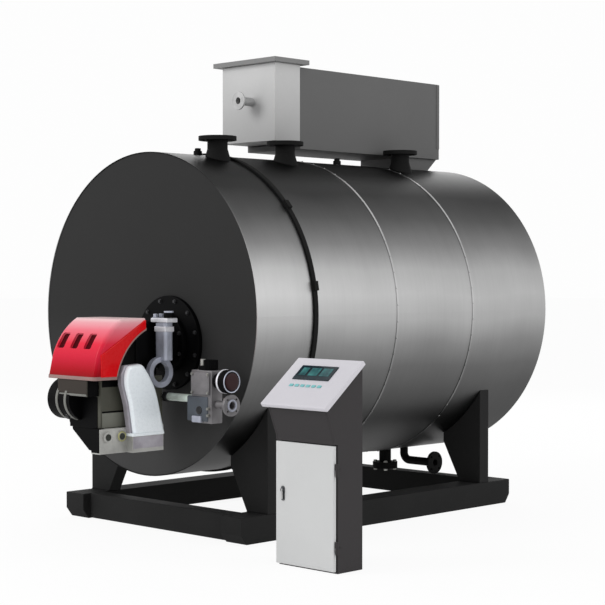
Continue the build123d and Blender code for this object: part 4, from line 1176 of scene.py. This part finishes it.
@dataclass
class Hood(SubAssembly):
    """The burner's red hood: a curved moulding with three slots in its brow."""

    room: Room = field(default_factory=lambda: Room.of("burner_hood"))
    chin: tuple[float, float] = (0.031, 0.132)
    brow: tuple[float, float] = (0.109, 0.272)
    crown: tuple[float, float] = (0.215, 0.360)
    tail: tuple[float, float] = (0.403, 0.290)
    hollow: tuple[float, float] = (0.252, 0.171)
    foot: tuple[float, float] = (0.174, 0.0)
    shoulder: float = 0.026
    slot_angle: float = 147.5
    slot_size: tuple[float, float] = (0.070, 0.108)
    slot_first: float = 0.068
    slot_pitch: float = 0.131
    slot_depth: float = 0.02
    lip: float = 0.016
    lip_proud: float = 0.003
    ridge: tuple[tuple[float, float], tuple[float, float]] = ((0.083, 0.165), (0.370, 0.337))
    ridge_height: float = 0.007

    def build(self) -> None:
        """Models and dresses every piece."""
        low, high = self.room.low, self.room.high
        shell = Piece.of_node("hood_moulding", "burner_hood")
        shell.edges(lambda at, along: abs(along.x) < 0.1 and at.z > low.z + 0.002
                    and (at.y < low.y + self.foot[0] - 0.004 or at.z > high.z - 0.04))
        shell.bevel(self.shoulder, 6).rounded(0.005, 2, 32)
        for cutter in self.slot_blocks("hood_slot", self.slot_depth * 2, 0.0):
            shell.cut_by(cutter.rounded(0.012, 3, 30))
        shell.fit(Palette.HOOD, replaced=["burner_hood"])
        # Dark red liners sunk in the slots paint the shade inside them.
        liners = self.slot_blocks("hood_slot_liner", 0.004, 0.003 - self.slot_depth)
        Piece.merged(liners).fit(Palette.SLOT_SHADE)
        self.side_ridge()
        self.foot_lip()
        self.rear_lip()

    def rear_circle(self) -> tuple[Place, float]:
        """Returns the middle and radius of the hollow rear edge's circle."""
        low = self.room.low
        centre, radius = circle_through(self.tail, self.hollow, self.foot)
        return (self.room.centre.x, low.y + centre.x, low.z + centre.y), radius

    def side_ridge(self) -> None:
        """Adds the raised band on the hood's right side, along its hollow rear edge, in a lighter
        red that paints its highlight.
        """
        low, high = self.room.low, self.room.high
        place, radius = self.rear_circle()
        band = Piece.block("hood_side_ridge", (high.x - 0.01, low.y + 0.05, low.z + 0.012),
                           (high.x + self.ridge_height, low.y + self.tail[0] - 0.004,
                            high.z - 0.012))
        start, end = (Vector((0, low.y + y, low.z + z)) for y, z in self.ridge)
        along = end - start
        band.trim(start, (0, -along.z, along.y))
        band.cut_by(Piece.rod("hollow", Axis.X, (high.x, *place[1:]), radius + 0.006, 0.1, 256))
        band.edges(lambda at, along: at.x > high.x + self.ridge_height - HAIR)
        band.bevel(self.ridge_height * 0.9).fit(Palette.HOOD_SIDE_HIGHLIGHT)

    def slot_blocks(self, name: str, depth: float, rise: float) -> list[Piece]:
        """Returns one block for each slot, lying in the curve of the brow.

        Args:
            name: The blocks' name.
            depth: How thick each block is.
            rise: How far its middle stands off the hood's surface.

        Returns:
            The three blocks.
        """
        low = self.room.low
        centre, radius = circle_through(self.chin, self.brow, self.crown)
        angle = math.radians(self.slot_angle)
        y = low.y + centre.x + (radius + rise) * math.cos(angle)
        z = low.z + centre.y + (radius + rise) * math.sin(angle)
        tilt = about(Axis.X, (0, 0, 0), self.slot_angle - 90)
        half = Vector((*self.slot_size, depth)) / 2
        return [Piece.block(f"{name}_{index}", -half, half).moved(
            shift(low.x + self.slot_first + index * self.slot_pitch, y, z) @ tilt)
            for index in range(3)]

    def foot_lip(self) -> None:
        """Adds the pale rolled lip round the hood's lower edge."""
        low, high, out = self.room.low, self.room.high, self.lip_proud
        lip = Piece.block("hood_foot_lip", (low.x - out, low.y + 0.0005, low.z - 0.006),
                          (high.x + out, low.y + self.foot[0] + out, low.z + self.lip))
        lip.edges(lambda at, along: abs(along.z) > ALONG and at.y < low.y + 0.01)
        lip.bevel(self.shoulder, 5).rounded(0.003, 3).fit(Palette.HOOD_LIP)

    def rear_lip(self) -> None:
        """Adds the pale lip up the hood's hollow rear edge."""
        low = self.room.low
        place, radius = self.rear_circle()
        width = self.room.size.x + 2 * self.lip_proud
        lip = Piece.rod("hood_rear_lip", Axis.X, place, radius + 0.011, width, 256)
        lip.cut_by(Piece.rod("bore", Axis.X, place, radius - 0.003, width * BEYOND, 256))
        lip.trim((0, low.y + self.tail[0], 0), (0, 1, 0))
        lip.trim((0, 0, low.z + self.lip * 0.6), (0, 0, -1))
        lip.rounded(0.002, 2, 40).fit(Palette.HOOD_LIP)


@dataclass
class Burner(SubAssembly):
    """The burner's flanges, casing, fan, control box, side cover and hinge."""

    edge: float = 0.006
    plate_bolts: int = 12
    cover_skin: float = 0.026
    cover_shift: float = 0.018
    cover_span: tuple[float, float] = (0.068, 0.310)
    plate_margin: float = 0.028
    flange_margin: float = 0.022
    flange_step: float = 0.036
    band_places: tuple[tuple[str, float], ...] = (("outer", 0.094), ("inner", 0.176))
    band_proud: float = 0.004
    band_width: float = 0.022
    clamp_way: tuple[float, float] = (-0.62, -0.78)
    socket_first: float = 0.056
    socket_pitch: float = 0.106
    socket_rise: float = 0.100
    bolt: HexBolt = HexBolt(0.012, 0.009)
    hood: Hood = field(default_factory=Hood)

    def build(self) -> None:
        """Models and dresses every piece."""
        for finish, edge, *nodes in (
                (Palette.BURNER, (0.004,), "burner_port_plate"),
                (Palette.BURNER, (0.006,), "burner_flange"),
                (Palette.BURNER, (0.014, 3), "burner_upper_body"),
                (Palette.BURNER, (0.004,), "fan_scroll"),
                (Palette.BURNER, (self.edge,), "air_intake", "cover_bracket"),
                (Palette.CASING, (self.edge, 3), "burner_casing"),
                (Palette.CONTROL, (0.004, 3), "control_box"),
                (Palette.CAST, (0.004,), "hinge_column"),
                (Palette.BRIGHT, (0.006, 3), "hinge_cap")):
            self.soften(finish, edge, *nodes)
        self.hood.build()
        self.port_bolts()
        self.scroll_rings()
        self.casing_trim()
        self.side_cover()
        self.sockets()
        self.hinge_details()

    def port_bolts(self) -> None:
        """Adds the bolts of the port plate and of the burner's flange."""
        plate, flange = Room.of("burner_port_plate"), Room.of("burner_flange")
        for name, room, y, inside, count, start in (
                ("port_plate", plate, plate.low.y, self.plate_margin, self.plate_bolts, 15),
                ("burner_flange", flange, flange.high.y - self.flange_step, self.flange_margin,
                 8, 22.5)):
            ring = self.bolt.circle(f"{name}_bolts", (room.centre.x, y, room.centre.z),
                                    (0, -1, 0), room.size.x / 2 - inside, count, start)
            ring.fit(Palette.DARK_BOLT)

    def scroll_rings(self) -> None:
        """Adds the two bright clamp bands round the fan scroll and the bolt between them."""
        scroll = Room.of("fan_scroll")
        radius = scroll.size.y / 2
        y, z = scroll.centre.y, scroll.low.z + radius
        for name, offset in self.band_places:
            self.disc(f"scroll_band_{name}", Axis.X, (scroll.low.x + offset, y, z),
                      (radius + self.band_proud, self.band_width, 96), Palette.BAND_STEEL,
                      (0.003, 2, 60))
        back, down = self.clamp_way
        foot = (scroll.low.x + 0.15, y + radius * back, z + radius * down)
        HexBolt(0.016, 0.014, 0.003).row("scroll_clamp_bolt", [foot],
                                         (0, back, down)).fit(Palette.DARK_BOLT)

    def casing_trim(self) -> None:
        """Adds black panels that paint shade on the fronts of the casing and of the control box
        and on the front band's cheek, a black strip that paints the hood's shadow along the top
        of the side, the side's bead and foot, and the front band and its edge.
        """
        room, box = Room.of("burner_casing"), Room.of("control_box")
        low, high = room.low, room.high
        face = box.low.y + 0.04
        side = (high.x - 0.01, box.low.y + 0.05), (high.x + 0.003, high.y - 0.1)
        # Black panels that paint shade: the casing's and the control box's fronts, and the band's
        # right cheek.
        for name, start, end in (
                ("casing_front_panel", (low.x + 0.012, face - 0.003, low.z - 0.002),
                 (high.x - 0.028, face + 0.02, high.z - 0.11)),
                ("control_front_panel", (box.low.x + 0.001, box.low.y - 0.003, box.low.z + 0.008),
                 (box.low.x + 0.077, face, low.z + 0.003)),
                ("casing_band_cheek", (high.x - 0.026, low.y + 0.001, high.z - 0.106),
                 (high.x - 0.017, face + 0.01, high.z - 0.004))):
            self.panel(name, start, end, Palette.BURNER)
        # The brow strip is black to paint the hood's shadow on the top of the side; the bead is
        # the side's dark seam and the foot a lighter grey strip.
        for name, bottom, top, tone in (("foot", 0.004, 0.092, Palette.CASING_FOOT),
                                        ("bead", 0.092, 0.102, Palette.BURNER),
                                        ("brow", 0.248, 0.296, Palette.BURNER)):
            self.panel(f"casing_side_{name}", (*side[0], low.z + bottom),
                       (*side[1], low.z + top), tone, (0.0014, 1), Slot.CASING)
        self.panel("casing_front_band", (low.x + 0.004, low.y - 0.003, high.z - 0.098),
                   (high.x - 0.022, low.y + 0.02, high.z - 0.006), Palette.FRONT_BAND)
        self.panel("casing_band_edge", (low.x + 0.02, low.y - 0.007, high.z - 0.104),
                   (high.x - 0.024, low.y + 0.02, high.z - 0.090), Palette.BAND_STEEL,
                   (0.004, 3), Slot.CASING)

    def side_cover(self) -> None:
        """Models the pale side cover, the bright band at its foot and its grey seat."""
        room, box = Room.of("side_cover"), Room.of("control_box")
        low, high = room.low, room.high
        seam = high.x - self.cover_skin
        shell = Piece.of_node("side_cover_moulding", "side_cover")
        shell.edges(lambda at, along: abs(along.x) > ALONG and at.z > low.z + 0.08)
        shell.bevel(0.022)
        back = shell.copied("side_cover_back", Matrix())
        back.trim((seam - 0.0005, 0, 0), (1, 0, 0))
        back.rounded(0.002, 2, 50).fit(Palette.COVER_BASE)
        shell.trim((seam, 0, 0), (-1, 0, 0))
        shell.edges(lambda at, along: abs(along.x) < 0.1 and at.x > high.x - HAIR
                    and at.z > low.z + HAIR)
        shell.bevel(0.020, 6).rounded(0.002, 2, 50).moved(shift(0, self.cover_shift, 0))
        shell.fit(Palette.COVER, replaced=["side_cover"])
        front, rear = (low.y + offset for offset in self.cover_span)
        self.panel("side_cover_foot", (low.x - 0.003, front - 0.003, low.z - 0.003),
                   (high.x + 0.003, rear + 0.003, low.z + 0.018), Palette.COVER, (0.005, 3))
        self.panel("side_cover_seat", (box.high.x - 0.008, front + 0.001, box.low.z + 0.022),
                   (high.x + 0.0015, rear - 0.001, low.z - 0.004), Palette.COVER_BASE,
                   (0.004, 3), Slot.CASING)

    def sockets(self) -> None:
        """Adds the rings and dark mouths of the two sockets on the control box."""
        casing, box = Room.of("burner_casing"), Room.of("control_box")
        x, z = casing.high.x + 0.054, box.low.z + self.socket_rise
        for index, tone in enumerate((Palette.CONTROL, Palette.BRASS)):
            y = box.low.y + self.socket_first + index * self.socket_pitch
            Piece.hoop(f"socket_ring_{index + 1}", Axis.X, (x - 0.002, y, z), 0.027, 0.005,
                       40).fit(tone)
            self.disc(f"socket_mouth_{index + 1}", Axis.X, (x - 0.001, y, z),
                      (0.020, 0.008, 32), Palette.SOCKET, (0.001, 1), dish=(0.006, -0.002))

    def hinge_details(self) -> None:
        """Adds the hinge's round knob, the collar and spacer on its column and its bolts."""
        cap, column = Room.of("hinge_cap"), Room.of("hinge_column")
        knob = cap.high.x - 0.034, cap.centre.y
        self.disc("hinge_pivot_knob", Axis.Z, (*knob, cap.high.z + 0.016), (0.032, 0.034, 32),
                  Palette.BURNER, (0.004, 3))
        self.disc("hinge_knob_lid", Axis.Z, (*knob, cap.high.z + 0.038), (0.030, 0.012, 32),
                  Palette.CAST, (0.003, 3), dish=(0.010, -0.004))
        top = column.high.z
        for name, low_end, high_end, out, tone in (
                ("hinge_spacer", top - 0.022, top - 0.004, -0.004, Palette.DARK_BOLT),
                ("hinge_column_collar", top - 0.058, top - 0.024, 0.003, Palette.BRIGHT)):
            self.panel(name, (column.low.x - out, cap.centre.y - 0.035 - out, low_end),
                       (column.high.x + out, cap.centre.y + 0.035 + out, high_end), tone,
                       (0.006, 3), Slot.CAST)
        spots = [(cap.low.x + 0.024, y, cap.high.z)
                 for y in (cap.low.y + 0.022, cap.high.y - 0.022)]
        HexBolt(0.016, 0.022, 0.003).row("hinge_cap_bolts", spots, (0, 0, 1)).fit(Palette.CAST)


@dataclass
class GasTrain(SubAssembly):
    """The gas pipe, the valve with its knob and switch, and the flanged inlet."""

    edge: float = 0.006
    rib_angle: float = 7.5
    bolt: HexBolt = HexBolt(0.008, 0.006, 0.0015)

    def build(self) -> None:
        """Models and dresses every piece."""
        self.soften(Palette.VALVE, (self.edge, 3), "gas_valve")
        self.soften(Palette.PIPE, (0.002,), "gas_pipe")
        self.soften(Palette.BURNER, (0.008, 3), "gas_pressure_switch", slot=Slot.VALVE)
        self.soften(Palette.VALVE, (0.002,), "gas_inlet")
        self.knob()
        self.valve_faces()
        self.switch_face()
        self.unions()

    def knob(self) -> None:
        """Models the ribbed black knob on the valve, its low base and the post beside it."""
        room = Room.of("valve_cap")
        start, foot = room.centre, room.low.z

        def between_ribs(at: Vector, normal: Vector) -> bool:
            """Tells every second face round the knob's side."""
            turn = math.degrees(math.atan2(at.y - start.y, at.x - start.x))
            return abs(normal.z) < 0.1 and int(round(turn / self.rib_angle - 0.5)) % 2 == 0

        knob = Piece.rod("valve_knob", Axis.Z, start, room.size.x / 2 - 0.003, room.size.z, 48)
        knob.faces(between_ribs)
        bpy.ops.mesh.inset(thickness=0.0008, depth=0.0028, use_individual=True)
        knob.faces(lambda at, normal: normal.z > ALONG and at.z > room.high.z - HAIR)
        knob.inset(0.010, -0.004).rounded(0.0015, 2, 60)
        knob.fit(Palette.BURNER, replaced=["valve_cap"])
        self.panel("valve_knob_base", (room.low.x - 0.022, room.low.y + 0.004, foot - 0.001),
                   (start.x, room.high.y - 0.004, foot + 0.026), Palette.BURNER, (0.004, 3))
        self.disc("valve_post", Axis.Z, (room.low.x - 0.026, start.y, foot + 0.032),
                  (0.018, 0.066, 24), Palette.BOLT, (0.003, 2))

    def valve_faces(self) -> None:
        """Adds the valve's cover plates, their screws, its plug and its test nipples."""
        room = Room.of("gas_valve")
        low, high, front = room.low, room.high, Axis.Y.face
        middle = low.z + 0.52 * room.size.z
        upper = Piece.block("valve_upper_cover", (low.x + 0.008, low.y - 0.012, middle + 0.006),
                            (high.x - 0.012, low.y + 0.01, high.z - 0.012))
        upper.dish(front, 0.018, -0.003).rounded(0.004, 2).fit(Palette.VALVE)
        self.panel("valve_lower_body", (low.x - 0.034, low.y - 0.008, low.z + 0.01),
                   (high.x - 0.030, low.y + 0.02, middle - 0.004), Palette.VALVE_DARK,
                   (0.01, 3))
        corners = [(x, low.y - 0.012, z) for x in (low.x + 0.020, high.x - 0.024)
                   for z in (middle + 0.018, high.z - 0.024)]
        self.bolt.row("valve_cover_screws", corners, front).fit(Palette.BOLT)
        self.panel("valve_foot_plate", (low.x + 0.022, low.y - 0.020, low.z + 0.004),
                   (low.x + 0.104, low.y + 0.01, low.z + 0.044), Palette.CAST, (0.006, 3),
                   Slot.VALVE)
        self.disc("valve_plug_mouth", Axis.Y, (low.x + 0.080, low.y - 0.009, low.z + 0.078),
                  (0.024, 0.008, 24), Palette.DARK_BOLT, (0.001, 1), Slot.VALVE,
                  (0.005, -0.004))
        spots = [(high.x - 0.024, low.y - 0.001, low.z + rise) for rise in (0.05, 0.09)]
        HexBolt(0.009, 0.014, 0.003).row("valve_test_nipples", spots, front).fit(Palette.BOLT)

    def switch_face(self) -> None:
        """Adds the switch's flange ring, its maroon face and the dark neck behind it."""
        room = Room.of("gas_pressure_switch")
        low, high, outer = room.low.x, room.high.x, room.size.z / 2
        for name, x, size, tone, edge, slot, dish in (
                ("switch_neck_sleeve", low + 0.034, (0.044, 0.060, 48), Palette.BURNER,
                 (0.003, 2), Slot.BURNER_BLACK, None),
                ("switch_flange", high - 0.058, (outer + 0.003, 0.014, 64), Palette.BRIGHT,
                 (0.003, 3), Slot.VALVE, None),
                ("switch_face_ring", high - 0.002, (outer - 0.003, 0.010, 64), Palette.CAST,
                 (0.002, 2), Slot.VALVE, (0.012, -0.005)),
                ("switch_dial", high - 0.001, (outer - 0.017, 0.008, 64), Palette.MAROON,
                 (0.002, 2), Slot.VALVE, (0.014, 0.004))):
            self.disc(name, Axis.X, (x, *room.centre[1:]), size, tone, edge, slot, dish)

    def unions(self) -> None:
        """Adds the hexagon union nut on the gas pipe and the bolts of the inlet flange."""
        pipe, inlet = Room.of("gas_pipe"), Room.of("gas_inlet")
        self.disc("union_nut", Axis.X, (pipe.low.x + 0.03, *pipe.centre[1:]),
                  (pipe.size.z / 2 + 0.012, 0.036, 6), Palette.DARK_BOLT, (0.003, 2, 40),
                  Slot.PIPE)
        face = inlet.high.x, *inlet.centre[1:]
        HexBolt(0.010, 0.009).circle("inlet_flange_bolts", (face[0] - 0.018, *face[1:]),
                                     (-1, 0, 0), 0.049, 4, 45).fit(Palette.BOLT)
        Piece.hoop("inlet_raised_face", Axis.X, face, 0.031, 0.007, 48).fit(Palette.CAST,
                                                                            Slot.VALVE)


@dataclass
class Console(SubAssembly):
    """The control console: its body, sloping desk, screen, keys, door and latch."""

    edge: float = 0.0025
    rise: float = 0.234
    run: float = 0.292
    door_clearance: float = 0.006
    half_gap: float = 0.0005
    panes: tuple[tuple[float, float], ...] = ((0.10, 0.27), (0.34, 0.60), (0.66, 0.92))
    pane_span: tuple[float, float] = (-0.026, 0.038)
    pane_depth: tuple[float, float] = (0.0028, 0.0038)

    def build(self) -> None:
        """Models and dresses every piece."""
        self.soften(Palette.CONSOLE, (self.edge,), "console_back", "console_base",
                    "console_front", "console_side_left", "console_side_right")
        self.dress(Palette.CONSOLE, "console_hinges")
        self.soften(Palette.DESK, (0.008, 4), "console_desk")
        self.soften(Palette.SCREEN, (0.002,), "console_screen")
        self.soften(Palette.KEYS, (0.0014, 3), "console_keys")
        self.door()
        self.lit_panes()
        self.latch()

    def door(self) -> None:
        """Models the pale door leaf, and the dark hinge barrels that turn with it."""
        edge = Room.of("console_side_right").high.x - self.door_clearance
        leaf = Piece.of_node("console_door_leaf", "console_door")
        leaf.trim((edge - self.half_gap, 0, 0), (1, 0, 0)).rounded(0.003, 3, 40)
        leaf.fit(Palette.DOOR, body=Body.DOOR, replaced=["console_door"])
        knuckles = Piece.of_node("door_hinge_barrels", "console_door")
        knuckles.trim((edge + self.half_gap, 0, 0), (-1, 0, 0)).rounded(0.001, 1, 60)
        knuckles.fit(Palette.CONSOLE, body=Body.DOOR)

    def lit_panes(self) -> None:
        """Adds the lit panes behind the screen's glass, lying in its slope."""
        screen = Room.of("console_screen")
        angle = math.degrees(math.atan2(self.rise, self.run))
        turn = Matrix.Translation(screen.centre) @ about(Axis.X, (0, 0, 0), angle)
        corners = list(zip(self.pane_span, self.pane_depth))
        parts = []
        for index, ends in enumerate(self.panes):
            low, high = (((end - 0.5) * screen.size.x, *corner)
                         for end, corner in zip(ends, corners))
            pane = Piece.block(f"screen_panes_{index}", low, high)
            parts.append(pane.dish(Axis.Z.face, 0.004, -0.0002).moved(turn))
        panes = Piece.merged(parts)
        panes.thing.name = "screen_panes"
        panes.fit(Palette.PANE)

    def latch(self) -> None:
        """Models the door's latch: a rounded plate with a swing lever on a round boss."""
        room = Room.of("console_door_handle")
        low, high, x = room.low, room.high, room.centre.x
        plate = Piece.block("door_latch_plate", (low.x, high.y - 0.005, low.z), high)
        plate.edges(lambda at, along: abs(along.y) > ALONG)
        plate.bevel(0.012, 6).rounded(0.0015, 2)
        boss = Piece.rod("latch_boss", Axis.Y, (x, high.y - 0.007, high.z - 0.022), 0.012, 0.012,
                         32).rounded(0.0015, 2)
        Piece.merged([plate, boss]).fit(Palette.HANDLE, body=Body.DOOR,
                                        replaced=["console_door_handle"])
        self.panel("door_latch_lever", (x - 0.006, low.y, low.z + 0.008),
                   (x + 0.006, low.y + 0.007, high.z - 0.014), Palette.STUB, (0.003, 3),
                   Slot.HANDLE, Body.DOOR)


@dataclass
class Studio:
    """The floor, the lamps, the pale surroundings and the camera."""

    camera_from_shell: Triple = (8.09246221, -6.76537179, 1.67976295)
    yaw: float = 0.777639498
    pitch: float = 0.0186140037
    lens: float = 96.33
    reach: float = 500.0
    floor_size: float = 160.0
    level: float = 0.72
    white: float = 0.985
    lamps: tuple[tuple[str, Triple, Triple, float, float], ...] = (
        ("key", (-3.5, -8.5, 6.0), (0.0, 0.0, 1.2), 5.0, 420.0),
        ("side", (8.5, 2.0, 4.0), (0.0, 0.0, 1.4), 5.0, 170.0),
        ("back", (-6.0, 8.0, 6.5), (0.0, 0.0, 1.4), 6.0, 260.0),
    )

    def build(self) -> None:
        """Adds everything round the plant."""
        self.floor()
        self.surroundings()
        for lamp in self.lamps:
            self.lamp(*lamp)
        self.camera()
        bpy.context.scene.view_settings.view_transform = "Standard"

    def floor(self) -> None:
        """Adds the plain pale floor."""
        Piece.clear()
        bpy.ops.mesh.primitive_plane_add(size=self.floor_size)
        floor = Piece.added("floor")
        floor.thing.data.materials.append(Palette.FLOOR.build())

    def surroundings(self) -> None:
        """Lights the plant evenly, and shows plain white to the camera, metal and glass."""
        world = bpy.data.worlds.new("studio_world")
        bpy.context.scene.world = world
        world.use_nodes = True
        nodes = Nodes(world.node_tree)
        lights = [nodes.add("ShaderNodeBackground", {
            "Strength": strength, "Color": (share, share, share, 1)})["Background"]
            for strength, share in ((self.level, 1.0), (1.0, self.white))]
        nodes.add("ShaderNodeOutputWorld", {"Surface": nodes.mixed(nodes.seen(), *lights)})

    @staticmethod
    def lamp(name: str, place: Triple, target: Triple, size: float, power: float) -> None:
        """Adds one soft square lamp.

        Args:
            name: The lamp's name.
            place: Where it stands.
            target: What it points at.
            size: The length of its side.
            power: Its power in watts.
        """
        light = bpy.data.lights.new(name, "AREA")
        light.shape = "SQUARE"
        light.size = size
        light.energy = power
        thing = bpy.data.objects.new(name, light)
        thing.location = place
        way = Vector(target) - Vector(place)
        thing.rotation_euler = way.to_track_quat("-Z", "Y").to_euler()
        thing.visible_camera = False
        bpy.context.scene.collection.objects.link(thing)

    def camera(self) -> None:
        """Adds the camera that looks at the plant as the picture does."""
        shell = Room.of("shell_jacket")
        data = bpy.data.cameras.new("camera")
        data.lens = self.lens
        data.clip_end = self.reach
        thing = bpy.data.objects.new("camera", data)
        thing.location = Vector((shell.centre.x, shell.low.y, 0)) + Vector(self.camera_from_shell)
        thing.rotation_euler = (math.pi / 2 - self.pitch, 0, self.yaw)
        bpy.context.scene.collection.objects.link(thing)
        bpy.context.scene.camera = thing


def main() -> None:
    """Builds the plant and its studio in order."""
    logging.basicConfig(level=logging.INFO, format="%(message)s")
    for part in (Shell(), Skid(), Nozzles(), Economiser(), Burner(), GasTrain(), Console()):
        LOG.info("building %s", type(part).__name__)
        part.build()
    Studio().build()


if __name__ == "__main__":
    main()
